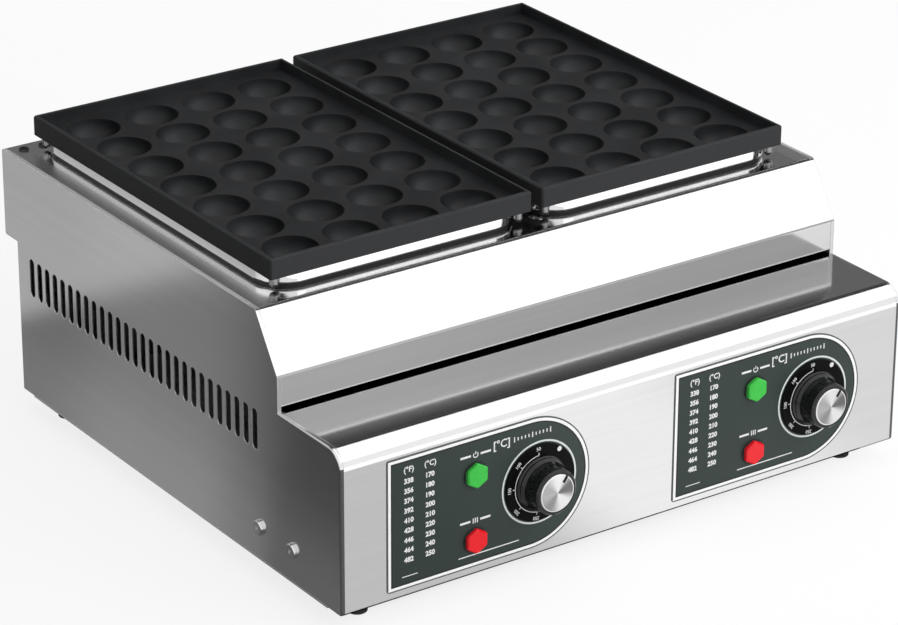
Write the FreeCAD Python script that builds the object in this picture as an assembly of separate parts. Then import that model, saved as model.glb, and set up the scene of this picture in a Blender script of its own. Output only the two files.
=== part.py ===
"""Two-plate electric takoyaki maker for a counter.

A folded stainless steel housing carries two cast aluminium plates with round pits.  Each plate lifts
off a raised collar, and two hairpin heating elements lie in the tray under it.  A capillary
thermostat with a knob that carries its dial, and with two indicator lamps, works each plate.

Axes: X to the right, Y from the front to the back, Z up.  While the pieces are built, Y starts at the
outer face of the front fascia and Z at the counter; save() then moves every piece so that the origin
is on the counter under the middle of the machine.  Lengths are in millimetres.
"""

import FreeCAD, Part
import math
import os
from FreeCAD import Vector

# ---- cast plates ----
pit_radius = 20.0
pit_wall = 2.8
web_across = 9.1
web_along = 4.4
columns = 4
rows = 7
border_across = 14.0
border_along = 8.4
plate_gap = 9.0
floor_thickness = 4.0
rim_height = 8.4
rim_wall = 3.0
rim_bevel = 1.2
cup_base_radius = 12.0
cup_shoulder = 7.0
skirt_lap = 2.4

# ---- housing ----
sheet = 1.0
fold_radius = 3.0
rear_fold_radius = 1.4
side_rim = 3.0
side_rim_round = 1.8
side_margin = 20.2
shelf_rise = 121.4
shelf_depth = 75.6
fascia_fold = 14.0
lip_gap = 2.5
lip_height = 23.3
lip_return = 8.0
slope_run = 26.4
slope_rise = 40.4
brow_depth = 12.0
rear_border = 12.3
rear_overhang = 16.5
step_rise = 120.3
flange_width = 15.0
seam_upstand = 12.0

# ---- wells and heating ----
collar_height = 13.2
collar_inset = 3.8
collar_corner = 25.0
collar_band = 1.8
collar_band_round = 1.6
collar_band_gap = 2.3
collar_drop = 10.0
tray_sheet = 0.8
tray_flange = 4.0
tray_ear = 7.0
tray_flange_corner = 6.0
tray_clearance = 0.6
tray_depth = 43.0
element_radius = 4.25
element_drop = 25.0
element_margin = 13.8
element_front = 20.0
element_fold = 12.0
element_back_gap = 2.0
element_tail = 14.0
pin_radius = 2.0
pin_length = 14.0
bush_radius = 8.0
bush_height = 2.0
saddle_clearance = 0.05
rack_sheet = 1.2
rack_fold = 1.7
rack_foot = 12.0
rack_end_gap = 2.0
bulb_radius = 3.0
bulb_length = 150.0
capillary_radius = 1.0
stud_radius = 3.5
stud_inset = 7.0
stud_reach = 9.0
stud_round = 3.0
running_gap = 0.3

# ---- front controls ----
label_sheet = 0.5
label_height = 98.6
label_rise = 6.9
label_length = 167.0
label_setback = 36.4
label_corner = 2.0
knob_offset = 41.0
control_rise = 56.0
lamp_offset = -12.0
lamp_spacing = 49.2
dial_radius = 28.6
dial_thickness = 1.5
dial_bevel = 0.4
knob_gap = 0.5
knob_flare_radius = 20.4
knob_grip_radius = 17.2
knob_length = 20.0
knob_tier = 1.1
knob_taper = 0.5
knob_face_bevel = 1.1
knob_wall = 2.0
knob_mouth_radius = 19.0
knob_mouth_depth = 2.6
knob_throat_depth = 7.5
knob_hollow = 13.0
hub_setback = 1.4
flute_count = 24
flute_radius = 0.9
flute_lift = 0.36
flute_start = 11.0
cap_radius = 13.8
cap_thickness = 1.6
cap_proud = 0.8
notch_width = 2.4
notch_length = 5.5
notch_angle = 35.0
shaft_radius = 3.0
shaft_clearance = 0.05
shaft_end = 8.0
shaft_flat = 1.5
knob_fit = 0.02
nose_radius = 5.0
nose_proud = 1.2
lens_flat = 8.1
lens_height = 3.0
lens_bevel = 0.9
lens_corner = 2.6
lens_flange_radius = 9.4
lens_flange = 0.8
lamp_shank_radius = 6.0
lamp_length = 30.0
lamp_drop = 4.2
lamp_nut = 4.0
lamp_nut_radius = 9.5
lamp_tab_width = 4.8
lamp_tab_spread = 3.0
thread_gap = 0.1
thermostat_width = 36.0
thermostat_height = 44.0
thermostat_depth = 24.0
thermostat_plate = 1.2
thermostat_corner = 2.0
thermostat_screw_spread = 14.1
diaphragm = 2.0
tab_width = 6.3
tab_thickness = 0.8
tab_length = 8.0

# ---- vents, feet, fasteners and supply ----
slot_width = 6.6
slot_length = 30.0
slot_pitch = 11.34
slot_front = 104.8
slot_rear = 22.0
slot_rise = 98.0
foot_height = 14.0
foot_radius = 8.0
foot_toe_radius = 7.2
foot_front_inset = 29.0
foot_rear_inset = 19.0
foot_front = 25.0
foot_rear = 33.0
screw_radius = 2.0
screw_head_radius = 3.8
screw_head = 2.4
low_screw_head = 1.4
recess_width = 0.9
recess_length = 3.6
recess_depth = 1.1
side_screw_head_radius = 5.6
side_screw_head = 2.6
side_screw_front = 59.5
side_screw_spacing = 41.5
side_screw_rise = 25.0
pan_upstand = 32.0
pan_gap = 4.0
pan_vent_count = 7
pan_vent_length = 57.4
rear_vent_count = 9
hood_screw_spacing = 16.5
base_screw_inner = 60.0
base_screw_outer = 168.0
screw_length = 5.0
foot_recess = 7.5
cable_radius = 4.5
gland_radius = 8.0
gland_nut_radius = 11.5
gland_nut_height = 4.5
gland_thread = 9.0
gland_flange = 5.0
gland_dome = 10.0
gland_dome_radius = 9.9
gland_rise = 40.0
gland_offset = 150.0
terminal_width = 46.0
terminal_depth = 22.0
terminal_height = 16.0
terminal_shoulder = 5.0
terminal_setback = 70.0
terminal_pitch = 10.5
terminal_bore = 2.6
terminal_well = 3.0
terminal_screw_inset = 4.0
earth_offset = 46.0
earth_nut_radius = 4.4
earth_nut = 3.2

# ---- wiring ----
wire_radius = 1.2
wire_bend = 6.0
wire_turn = 14.0
wire_row = 15.0
wire_side_gap = 1.3
wire_entry = 11.0
neutral_entry = 9.0
sleeve_length = 8.0
sleeve_height = 2.4
pin_sleeve_radius = 3.0
lug_sheet = 0.8
lug_width = 3.2

# ---- derived lines, measured as in the note on axes ----
pitch_across = 2 * pit_radius + web_across
pitch_along = 2 * pit_radius + web_along
plate_width = (columns - 1) * pitch_across + 2 * pit_radius + 2 * border_across
plate_depth = (rows - 1) * pitch_along + 2 * pit_radius + 2 * border_along
body_width = 2 * plate_width + plate_gap + 2 * side_margin
half_width = body_width / 2
brow = shelf_depth + slope_run
plate_front = brow + brow_depth
plate_back = plate_front + plate_depth
hood_back = plate_back + rear_border
body_depth = hood_back - rear_overhang
plate_middle = (plate_front + plate_back) / 2
underside = foot_height
shelf_top = underside + shelf_rise
lip_bottom = shelf_top + lip_gap
lip_top = lip_bottom + lip_height
hood_top = lip_top + slope_rise
step_height = underside + step_rise
seat_height = hood_top + collar_height
floor_height = seat_height + floor_thickness
rim_top = floor_height + rim_height
skirt_bottom = seat_height - skirt_lap
cup_bottom = floor_height - pit_radius - pit_wall
element_height = floor_height - element_drop
tray_bottom = hood_top - tray_depth
control_height = underside + control_rise
inner_front = sheet
pan_floor = underside + sheet
label_face = -label_sheet
nose_front = label_face - nose_proud
knob_back = label_face - knob_gap
knob_front = knob_back - knob_length
SIDES = {"left": -1, "right": 1}


def plate_centre(side):
    """X of the middle of one plate."""
    return SIDES[side] * (plate_width + plate_gap) / 2


def unit_centre(side):
    """X of the middle of one control unit."""
    return SIDES[side] * body_width / 4


def knob_centre(side):
    """X of one knob's axis."""
    return unit_centre(side) + knob_offset


# ---- helpers ----
def block(x, y, z):
    """A box between the pairs of limits x, y and z."""
    size = (x[1] - x[0], y[1] - y[0], z[1] - z[0])
    return Part.makeBox(*size, Vector(x[0], y[0], z[0]))


def rod(radius, x, y, z, length, along=Vector(0, 0, 1)):
    """A round bar that starts at a point and runs along a direction."""
    return Part.makeCylinder(radius, length, Vector(x, y, z), along)


def prism(sides, corner_radius, x, y, z, length, along):
    """A bar with a regular outline and a corner pointing up, starting at a point."""
    points = []
    for i in range(sides + 1):
        angle = 2 * math.pi * i / sides
        points.append(Vector(corner_radius * math.sin(angle), 0, corner_radius * math.cos(angle)))
    outline = Part.Face(Part.makePolygon(points))
    bar = outline.extrude(Vector(0, length, 0))
    if along.z:
        bar.rotate(Vector(), Vector(1, 0, 0), 90 * along.z)
    elif along.y < 0:
        bar.rotate(Vector(), Vector(0, 0, 1), 180)
    bar.translate(Vector(x, y, z))
    return bar


def rounded_block(x, y, z, corner):
    """A box whose upright edges are rounded."""
    plain = block(x, y, z)
    upright = [e for e in plain.Edges if abs(e.tangentAt(e.FirstParameter).z) > 0.9]
    return plain.makeFillet(corner, upright)


def rounded_path(points, radii):
    """A wire of straight runs, with a tangent arc of its own radius at each inner point, or a sharp
    corner where the radius is 0."""
    edges = []
    last = points[0]
    for before, corner, after, radius in zip(points, points[1:], points[2:], radii):
        back = (before - corner).normalize()
        ahead = (after - corner).normalize()
        half = back.getAngle(ahead) / 2
        start = corner + back * (radius / math.tan(half))
        end = corner + ahead * (radius / math.tan(half))
        if (start - last).Length > 1e-6:
            edges.append(Part.LineSegment(last, start).toShape())
        if radius:
            middle = corner + (back + ahead).normalize() * (radius / math.sin(half) - radius)
            edges.append(Part.Arc(start, middle, end).toShape())
        last = end
    edges.append(Part.LineSegment(last, points[-1]).toShape())
    return Part.Wire(edges)


def folded_sheet(points, radii, thickness, extent):
    """Sheet metal folded along a flat path: its wall lies on the right of the path, or on the left
    where the thickness is negative, and it runs along extent."""
    wall = rounded_path(points, radii).makeOffset2D(thickness, 0, True, True)
    return wall.extrude(extent)


def tube_along(points, radii, radius):
    """A round bar bent along a path."""
    path = rounded_path(points, radii)
    start = path.Edges[0]
    circle = Part.makeCircle(radius, points[0], start.tangentAt(start.FirstParameter))
    return path.makePipeShell([Part.Wire(circle)], True, True)


def revolved(profile, x, y, z):
    """A solid of revolution about an axis along -Y: profile holds (radius, distance in front)."""
    points = [Vector(r, -d, 0) for r, d in profile]
    face = Part.Face(Part.makePolygon(points + points[:1]))
    solid = face.revolve(Vector(), Vector(0, 1, 0), 360)
    solid.translate(Vector(x, y, z))
    return solid


def mirrored(shape):
    """The same shape on the other side of the machine's middle."""
    return shape.mirror(Vector(), Vector(1, 0, 0))


def tab(x, y, z, width, upright=False):
    """A push-on tab that sticks out to the rear from a point."""
    across = tab_thickness / 2 if upright else width / 2
    tall = width / 2 if upright else tab_thickness / 2
    return block((x - across, x + across), (y, y + tab_length), (z - tall, z + tall))


def joined(shapes):
    """One solid from touching or overlapping solids."""
    return shapes[0].multiFuse(shapes[1:]).removeSplitter()


def screw(x, y, z, length, into, head_radius=screw_head_radius, head=screw_head):
    """A pan-head screw whose head seats at a point, with its shank along into."""
    seat = Vector(x, y, z)
    cap = Part.makeCylinder(head_radius, head, seat - into * head, into)
    crown = [e for e in cap.Edges if e.Closed and (e.CenterOfMass - seat).Length > head / 2]
    cap = cap.makeFillet(head * 0.45, crown)
    cap = cap.fuse(Part.makeCylinder(screw_radius, length, seat, into)).removeSplitter()
    return cap.cut(cross_recess(seat - into * head, into))


def cross_recess(top, into):
    """Cutter for the cross in a screw's head, at the middle of the head's top."""
    arms = []
    for i in range(2):
        arm = Part.makeBox(recess_length, recess_width, 2 * recess_depth)
        arm.translate(Vector(-recess_length / 2, -recess_width / 2, -recess_depth))
        arm.rotate(Vector(), Vector(0, 0, 1), 45 + 90 * i)
        arms.append(arm)
    cross = arms[0].fuse(arms[1])
    cross.Placement = FreeCAD.Placement(top, FreeCAD.Rotation(Vector(0, 0, 1), into))
    return cross


def save(name, *shapes):
    """Writes one node, moved to the machine's own frame."""
    whole = Part.makeCompound(list(shapes)) if len(shapes) > 1 else shapes[0]
    solids = [s.copy() for s in whole.Solids]
    for solid in solids:
        solid.translate(Vector(0, -frame_middle, 0))
    out = solids[0] if len(solids) == 1 else Part.makeCompound(solids)
    out.exportStep("parts/" + name + ".step")


# ---- housing ----
def side_outline(inset):
    """The machine's outline seen from its side, moved inwards by inset."""
    points = [
        (0, underside), (0, shelf_top), (shelf_depth, shelf_top), (shelf_depth, lip_top),
        (brow, hood_top), (hood_back, hood_top), (hood_back, step_height), (body_depth, step_height),
        (body_depth, underside),
    ]
    corners = [Vector(0, y, z) for y, z in points]
    start = (corners[-1] + corners[0]) * 0.5
    fold, rear = fold_radius, rear_fold_radius
    radii = [fold, fascia_fold, 0, fold, fold, rear, rear, 0, rear]
    wire = rounded_path([start] + corners + [start], radii)
    if inset:
        wire = wire.makeOffset2D(-inset)
    return Part.Face(wire)


def side_screw_places():
    """(y, z) of the two screws through one side panel into the base pan."""
    height = underside + side_screw_rise
    return [(y, height) for y in (side_screw_front, side_screw_front + side_screw_spacing)]


def rear_screw_heights():
    """Heights of the screws through each edge of the rear panel."""
    low = underside + side_screw_rise
    high = step_height - 2 * side_screw_head_radius
    return [low, (low + high) / 2, high]


def hood_screw_places():
    """(x, y) of the screws through the hood's rear corners, into a side flange and a tray flange."""
    y = plate_back - collar_inset + tray_clearance + tray_sheet + tray_ear / 2
    x = half_width - sheet - flange_width + screw_head_radius
    return [(s * (x - shift), y) for s in (-1, 1) for shift in (0, hood_screw_spacing)]


def vent_slots(count, first, pitch, place):
    """Round-ended upright slots in a row; place(s) turns a distance into a cutter's (x, y)."""
    cutters = []
    half = slot_length / 2 - slot_width / 2
    middle = underside + slot_rise
    for i in range(count):
        cutters.append(place(first + i * pitch, middle - half, middle + half))
    return Part.makeCompound(cutters)


def slot_through_x(y, low, high):
    """One slot through the left side panel."""
    reach = 4 * sheet
    start = -half_width - sheet
    straight = block((start, start + reach), (y - slot_width / 2, y + slot_width / 2), (low, high))
    ends = [rod(slot_width / 2, start, y, z, reach, Vector(1, 0, 0)) for z in (low, high)]
    return straight.multiFuse(ends)


def slot_through_y(x, low, high):
    """One slot through the rear panel."""
    reach = 4 * sheet
    start = body_depth - 2 * sheet
    straight = block((x - slot_width / 2, x + slot_width / 2), (start, start + reach), (low, high))
    ends = [rod(slot_width / 2, x, start, z, reach, Vector(0, 1, 0)) for z in (low, high)]
    return straight.multiFuse(ends)


def side_vent_count():
    """How many vents fit between the first one and the rear edge."""
    room = body_depth - slot_front - slot_rear
    return int(room / slot_pitch + 0.01) + 1


def side_flange():
    """The strip folded in along the edge of a side panel, on which the covers lie."""
    width = Vector(flange_width, 0, 0)
    strip = side_outline(sheet).extrude(width).cut(side_outline(2 * sheet).extrude(width))
    strip.translate(Vector(-half_width + sheet, 0, 0))
    wide = (-half_width, -half_width + 2 * flange_width)
    lip_relief = block(wide, (shelf_depth - 2 * sheet, shelf_depth + lip_return + 2 * sheet),
                       (shelf_top - 3 * sheet, shelf_top + seam_upstand + 2 * sheet))
    step_relief = block(wide, (body_depth - 4 * sheet, body_depth + 3 * sheet),
                        (step_height - 3 * sheet, step_height + seam_upstand + 3 * sheet))
    bottom = block(wide, (-1, body_depth + 1), (underside - 1, underside + 3 * sheet))
    return strip.cut(lip_relief).cut(step_relief).cut(bottom)


def front_rim_edges(rim):
    """The outer edges of a side panel's blank from the bottom of its front to the hood's lip."""
    outer = [e for e in rim.Edges if max(v.X for v in e.Vertexes) < 0.01]
    front = [e for e in outer if max(v.Y for v in e.Vertexes) < fascia_fold + 0.01]
    shelf = [e for e in outer if min(v.Y for v in e.Vertexes) > fascia_fold - 0.01
             and max(v.Y for v in e.Vertexes) < shelf_depth + 0.01
             and max(v.Z for v in e.Vertexes) < shelf_top + 0.01]
    return front + shelf


def left_side_panel():
    """Full-height side cover with its vents, its rounded rim and its folded edge strips."""
    rim = side_outline(0).extrude(Vector(side_rim, 0, 0))
    inside = side_outline(sheet).extrude(Vector(side_rim, 0, 0))
    inside.translate(Vector(sheet, 0, 0))
    face = rim.makeFillet(side_rim_round, front_rim_edges(rim)).cut(inside)
    face.translate(Vector(-half_width, 0, 0))
    margin = flange_width + 2 * sheet
    foot = block((-half_width, -half_width + sheet + flange_width), (margin, body_depth - margin),
                 (underside, underside + sheet))
    panel = joined([face, foot] + side_flange().Solids)
    panel = panel.cut(vent_slots(side_vent_count(), slot_front, slot_pitch, slot_through_x))
    for y, z in side_screw_places():
        panel = panel.cut(rod(screw_radius, -half_width - 1, y, z, 4 * sheet, Vector(1, 0, 0)))
    rail = -half_width + sheet + flange_width / 2
    for z in rear_screw_heights():
        panel = panel.cut(rod(screw_radius, rail, body_depth - 4 * sheet, z, 5 * sheet, Vector(0, 1, 0)))
    for x, y in hood_screw_places()[:1]:
        panel = panel.cut(rod(screw_radius, x, y, hood_top - 4 * sheet, 5 * sheet))
    for x, y in foot_places():
        panel = panel.cut(rod(foot_radius + running_gap, x, y, underside - 1, 4 * sheet))
    return panel


def across(points, radii, half):
    """A sheet folded along a (y, z) path and running across the machine."""
    path = [Vector(-half, y, z) for y, z in points]
    return folded_sheet(path, radii, sheet, Vector(2 * half, 0, 0))


def well_outline(side, z, grow=0.0):
    """The rounded block of one well's outer outline, between the heights z."""
    middle = plate_centre(side)
    half = plate_width / 2 - collar_inset + grow
    y = (plate_front + collar_inset - grow, plate_back - collar_inset + grow)
    return rounded_block((middle - half, middle + half), y, z, collar_corner + grow)


def hood_shell():
    """Top cover: folded lip, slope, top with the two wells, rear face and return under the overhang."""
    back = body_depth
    points = [
        (shelf_depth + lip_return, lip_bottom), (shelf_depth, lip_bottom), (shelf_depth, lip_top),
        (brow, hood_top), (hood_back, hood_top), (hood_back, step_height), (back, step_height),
        (back, step_height + seam_upstand),
    ]
    radii = [2 * sheet, fold_radius, fold_radius] + [rear_fold_radius] * 3
    hood = across(points, radii, half_width - side_rim)
    for side in SIDES:
        hood = hood.cut(well_outline(side, (hood_top - 3 * sheet, hood_top + sheet)))
    for x, y in hood_screw_places():
        hood = hood.cut(rod(screw_radius, x, y, hood_top - 3 * sheet, 4 * sheet))
    return hood


def base_screw_columns():
    """X of the base screws along the front and the rear flange."""
    return [side * x for side in (-1, 1) for x in (base_screw_inner, base_screw_outer)]


def base_screw_rows():
    """Y of the base screws, in the middle of the front and the rear flange."""
    y = (flange_width + sheet) / 2
    return [y, body_depth - y]


def front_fascia():
    """Front cover: bottom flange, face, round fold, shelf and the upstand behind the hood's lip."""
    half = half_width - side_rim
    behind_lip = (shelf_depth + lip_return, shelf_depth + lip_return + sheet)
    points = [(flange_width, underside), (0, underside), (0, shelf_top), (behind_lip[1], shelf_top)]
    cover = across(points, [fold_radius, fascia_fold], half)
    upstand = block((-half, half), behind_lip, (shelf_top - sheet, shelf_top + seam_upstand))
    cover = cover.fuse(upstand).removeSplitter()
    forward = Vector(0, 1, 0)
    for side in SIDES:
        axis = knob_centre(side)
        cover = cover.cut(rod(nose_radius, axis, -1, control_height, 4 * sheet, forward))
        for x in thermostat_screw_places(side):
            cover = cover.cut(rod(screw_radius, x, -1, control_height, 4 * sheet, forward))
        for z in lamp_heights():
            cover = cover.cut(rod(lamp_shank_radius, lamp_centre(side), -1, z, 4 * sheet, forward))
    for x in base_screw_columns():
        cover = cover.cut(rod(screw_radius, x, base_screw_rows()[0], underside - 1, 4 * sheet))
    return cover


def rear_panel():
    """Rear cover with a bottom flange, two groups of vents and the cable's hole."""
    top = step_height + seam_upstand + sheet
    points = [(body_depth - flange_width, underside), (body_depth, underside), (body_depth, top)]
    path = [Vector(-half_width + side_rim, y, z) for y, z in points]
    panel = folded_sheet(path, [rear_fold_radius], -sheet, Vector(body_width - 2 * side_rim, 0, 0))
    for side in SIDES:
        first = plate_centre(side) - (rear_vent_count - 1) / 2 * slot_pitch
        panel = panel.cut(vent_slots(rear_vent_count, first, slot_pitch, slot_through_y))
    back = Vector(0, 1, 0)
    start = body_depth - 2 * sheet
    height = underside + gland_rise
    panel = panel.cut(rod(gland_radius, gland_offset, start, height, 4 * sheet, back))
    rail = half_width - sheet - flange_width / 2
    for z in rear_screw_heights():
        for x in (-rail, rail):
            panel = panel.cut(rod(screw_radius, x, start, z, 4 * sheet, back))
    for x in base_screw_columns():
        panel = panel.cut(rod(screw_radius, x, base_screw_rows()[1], underside - 1, 4 * sheet))
    return panel


def foot_places():
    """(x, y) of the four feet."""
    front = (half_width - foot_front_inset, foot_front)
    rear = (half_width - foot_rear_inset, body_depth - foot_rear)
    return [(s * x, y) for x, y in (front, rear) for s in (-1, 1)]


def base_pan():
    """Bottom pan: it lies on the covers' flanges, and its sides stand up inside the side panels."""
    inner = half_width - sheet
    top = pan_floor + pan_upstand
    points = [(-inner, top), (-inner, pan_floor), (inner, pan_floor), (inner, top)]
    path = [Vector(x, pan_gap, z) for x, z in points]
    length = body_depth - 2 * pan_gap
    pan = folded_sheet(path, [fold_radius, fold_radius], sheet, Vector(0, length, 0))
    for y, z in side_screw_places():
        pan = pan.cut(rod(screw_radius, -half_width, y, z, body_width, Vector(1, 0, 0)))
    low = pan_floor - 1
    for x, y in foot_places():
        pan = pan.cut(rod(screw_radius, x, y, low, 4 * sheet))
    for x in base_screw_columns():
        for y in base_screw_rows():
            pan = pan.cut(rod(screw_radius, x, y, low, 4 * sheet))
    vent_y = (plate_middle - pan_vent_length / 2, plate_middle + pan_vent_length / 2)
    for side in SIDES:
        for i in range(pan_vent_count):
            x = plate_centre(side) + 2 * slot_pitch * (i - (pan_vent_count - 1) / 2)
            pan = pan.cut(block((x - slot_width / 2, x + slot_width / 2), vent_y, (low, low + 4 * sheet)))
    for x, y in terminal_screw_places() + [earth_place()]:
        pan = pan.cut(rod(screw_radius, x, y, low, 4 * sheet))
    return pan


# ---- wells and heating ----
def well_collar(side):
    """Upright ring round a well, with a round-edged band about it just above the hood."""
    height = (hood_top - collar_drop, seat_height)
    low = hood_top + collar_band_gap
    band = well_outline(side, (low, skirt_bottom - running_gap), collar_band)
    under = [e for e in band.Edges if max(v.Z for v in e.Vertexes) < low + 0.01]
    band = band.makeFillet(collar_band_round, under)
    ring = joined([well_outline(side, height), band])
    return ring.cut(well_outline(side, (height[0] - 1, height[1] + 1), -sheet))


def tray_hole_places(side):
    """X of the four element legs and of the capillary, where they pass through the tray."""
    middle = plate_centre(side)
    return [middle + s for s in leg_offsets()]


def leg_offsets():
    """Distances of the element legs from the middle of the plate, in the lanes between the cups."""
    outer = plate_width / 2 - element_margin
    return [-outer, -pitch_across, pitch_across, outer]


def leg_front():
    """Y of the legs where they turn down through the tray."""
    return plate_front + element_front


def heat_tray(side):
    """Open pan under one plate, hung from the hood by its flange."""
    grow = tray_clearance + tray_sheet
    top = hood_top - sheet
    shell = well_outline(side, (tray_bottom, top), grow)
    shell = shell.cut(well_outline(side, (tray_bottom + tray_sheet, top + sheet), tray_clearance))
    half = plate_width / 2 - collar_inset + grow + tray_flange
    middle = plate_centre(side)
    reach = grow + tray_ear - collar_inset
    flange = rounded_block((middle - half, middle + half), (plate_front - reach, plate_back + reach),
                           (top - tray_sheet, top), tray_flange_corner)
    flange = flange.cut(well_outline(side, (top - 2 * sheet, top + sheet), tray_clearance))
    tray = joined([shell, flange])
    for x in tray_hole_places(side):
        tray = tray.cut(rod(element_radius + running_gap, x, leg_front(), tray_bottom - sheet, 3 * sheet))
    capillary_hole = capillary_radius + running_gap
    tray = tray.cut(rod(capillary_hole, plate_centre(side), leg_front(), tray_bottom - sheet, 3 * sheet))
    for x, y in hood_screw_places():
        tray = tray.cut(rod(screw_radius, x, y, top - 3 * sheet, 4 * sheet))
    return tray


def heating_element(side, near, far):
    """One hairpin: two legs along the lanes, a round bend at the rear, and cold ends with pins."""
    a = plate_centre(side) + near
    b = plate_centre(side) + far
    bend = abs(b - a) / 2
    front = leg_front()
    back = plate_back - collar_inset - sheet - element_radius - element_back_gap
    low = tray_bottom - element_tail
    points = [(a, front, low), (a, front, element_height), (a, back, element_height),
              (b, back, element_height), (b, front, element_height), (b, front, low)]
    path = [Vector(*p) for p in points]
    element = tube_along(path, [element_fold, bend, bend, element_fold], element_radius)
    pieces = [element]
    for x in (a, b):
        pieces.append(rod(bush_radius, x, front, tray_bottom + tray_sheet, bush_height))
        pieces.append(rod(pin_radius, x, front, low - pin_length, pin_length))
    return joined(pieces)


def rack_places():
    """Y of the two racks, each between two rows of cups."""
    return [plate_middle - 1.5 * pitch_along, plate_middle + 1.5 * pitch_along]


def element_rack(side, y):
    """An angle standing in the tray, with round saddles for the element legs and the bulb."""
    middle = plate_centre(side)
    half = plate_width / 2 - collar_inset - rack_end_gap
    floor = tray_bottom + tray_sheet
    points = [(y + rack_foot, floor), (y, floor), (y, element_height)]
    path = [Vector(middle - half, py, pz) for py, pz in points]
    rack = folded_sheet(path, [rack_fold], rack_sheet, Vector(2 * half, 0, 0))
    saddles = [(x, element_radius) for x in leg_offsets()] + [(0, bulb_radius)]
    for x, radius in saddles:
        rack = rack.cut(rod(radius + saddle_clearance, middle + x, y - rack_sheet, element_height,
                            3 * rack_sheet, Vector(0, 1, 0)))
    return rack


def bulb_front():
    """Y of the bulb's front end."""
    return plate_middle - bulb_length / 2


def thermostat_bulb(side):
    """Sealed sensing bulb that lies in the racks' middle saddles."""
    bulb = rod(bulb_radius, plate_centre(side), bulb_front(), element_height, bulb_length, Vector(0, 1, 0))
    return bulb.makeFillet(bulb_radius * 0.6, [e for e in bulb.Edges if e.Closed])


def thermostat_back():
    """Y of the rear face of a thermostat's diaphragm."""
    return inner_front + thermostat_plate + thermostat_depth + 2 * diaphragm


def capillary(side):
    """Thin tube from the bulb, down through the tray and forward to the thermostat."""
    x = plate_centre(side)
    axis = knob_centre(side)
    drop = tray_bottom - 3 * element_fold
    points = [(x, bulb_front(), element_height), (x, leg_front(), element_height),
              (x, leg_front(), drop), (axis, thermostat_back() + 3 * element_fold, control_height),
              (axis, thermostat_back(), control_height)]
    return tube_along([Vector(*p) for p in points], [element_fold] * 3, capillary_radius)


# ---- front controls ----
def thermostat_screw_places(side):
    """X of the two screws beside one knob's axis."""
    x = knob_centre(side)
    return [x - thermostat_screw_spread, x + thermostat_screw_spread]


def lamp_centre(side):
    """X of the two lamps of one control unit."""
    return unit_centre(side) + lamp_offset


def lamp_heights():
    """Heights of the lower and the upper lamp."""
    middle = control_height - lamp_drop
    return [middle - lamp_spacing / 2, middle + lamp_spacing / 2]


def thermostat(side):
    """Capillary thermostat: mounting plate, housing, nose with its bore, diaphragm and tabs."""
    x = knob_centre(side)
    z = control_height
    back = Vector(0, 1, 0)
    half = thermostat_width / 2
    tall = thermostat_height / 2
    start = inner_front + thermostat_plate
    end = start + thermostat_depth
    plate = block((x - half, x + half), (inner_front, start), (z - half / 2, z + half / 2))
    case = block((x - half, x + half), (start, end), (z - tall, z + tall))
    case = case.makeChamfer(thermostat_corner, [e for e in case.Edges if abs(e.tangentAt(0).y) > 0.9])
    nose = rod(nose_radius - running_gap, x, nose_front, z, start - nose_front, back)
    cell = rod(half / 2, x, end, z, diaphragm, back)
    stub = rod(2 * capillary_radius, x, end + diaphragm, z, diaphragm, back)
    reach = half - tab_width
    tabs = [tab(x + dx, end, z + dz, tab_width) for dx in (-reach, reach) for dz in (-reach, reach)]
    unit = joined([plate, case, nose, cell, stub] + tabs)
    depth = shaft_back() + running_gap - nose_front
    unit = unit.cut(rod(shaft_radius + shaft_clearance, x, nose_front - 1, z, depth + 1, back))
    for sx in thermostat_screw_places(side):
        unit = unit.cut(rod(screw_radius, sx, inner_front - 1, z, 2 * screw_length, back))
    return unit


def shaft_back():
    """Y of the shaft's inner end."""
    return inner_front + thermostat_plate + thermostat_depth / 2


def shaft_key(x, gap):
    """The block that the shaft's flat leaves free, as far as the hub reaches."""
    top = control_height + shaft_radius - shaft_flat + gap
    side = 2 * shaft_radius
    return block((x - side, x + side), (knob_front, nose_front - sheet), (top, top + side))


def thermostat_shaft(side):
    """Shaft with a flat, from inside the thermostat to the knob's hub."""
    x = knob_centre(side)
    front = knob_front + shaft_end
    shaft = rod(shaft_radius, x, front, control_height, shaft_back() - front, Vector(0, 1, 0))
    shaft = shaft.cut(shaft_key(x, 0))
    shaft.rotate(Vector(x, 0, control_height), Vector(0, 1, 0), notch_angle)
    return shaft


def knob_profile():
    """Outline of the knob, as (radius, distance in front of its back): dial, two steps and grip."""
    flare = knob_flare_radius
    grip = knob_grip_radius
    step = (flare - grip) / 4
    tiers = [dial_thickness + knob_tier * (k + 0.5) for k in range(1, 6)]
    face = knob_length - knob_face_bevel
    end = grip - knob_taper
    return [
        (0, 0), (dial_radius, 0), (dial_radius, dial_thickness - dial_bevel),
        (dial_radius - dial_bevel, dial_thickness), (flare, dial_thickness), (flare, tiers[0]),
        (flare - step, tiers[1]), (flare - step, tiers[2]), (flare - 2 * step, tiers[3]),
        (grip + step, tiers[4]), (grip, flute_start), (end, face), (end - knob_face_bevel, knob_length),
        (0, knob_length),
    ]


def knob_hollow_profile():
    """Outline of the room inside the knob, open at its back."""
    mouth = knob_mouth_radius
    throat = knob_grip_radius - knob_wall
    return [(0, -1), (mouth, -1), (mouth, knob_mouth_depth), (throat, knob_throat_depth),
            (throat, knob_hollow), (0, knob_hollow)]


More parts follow.
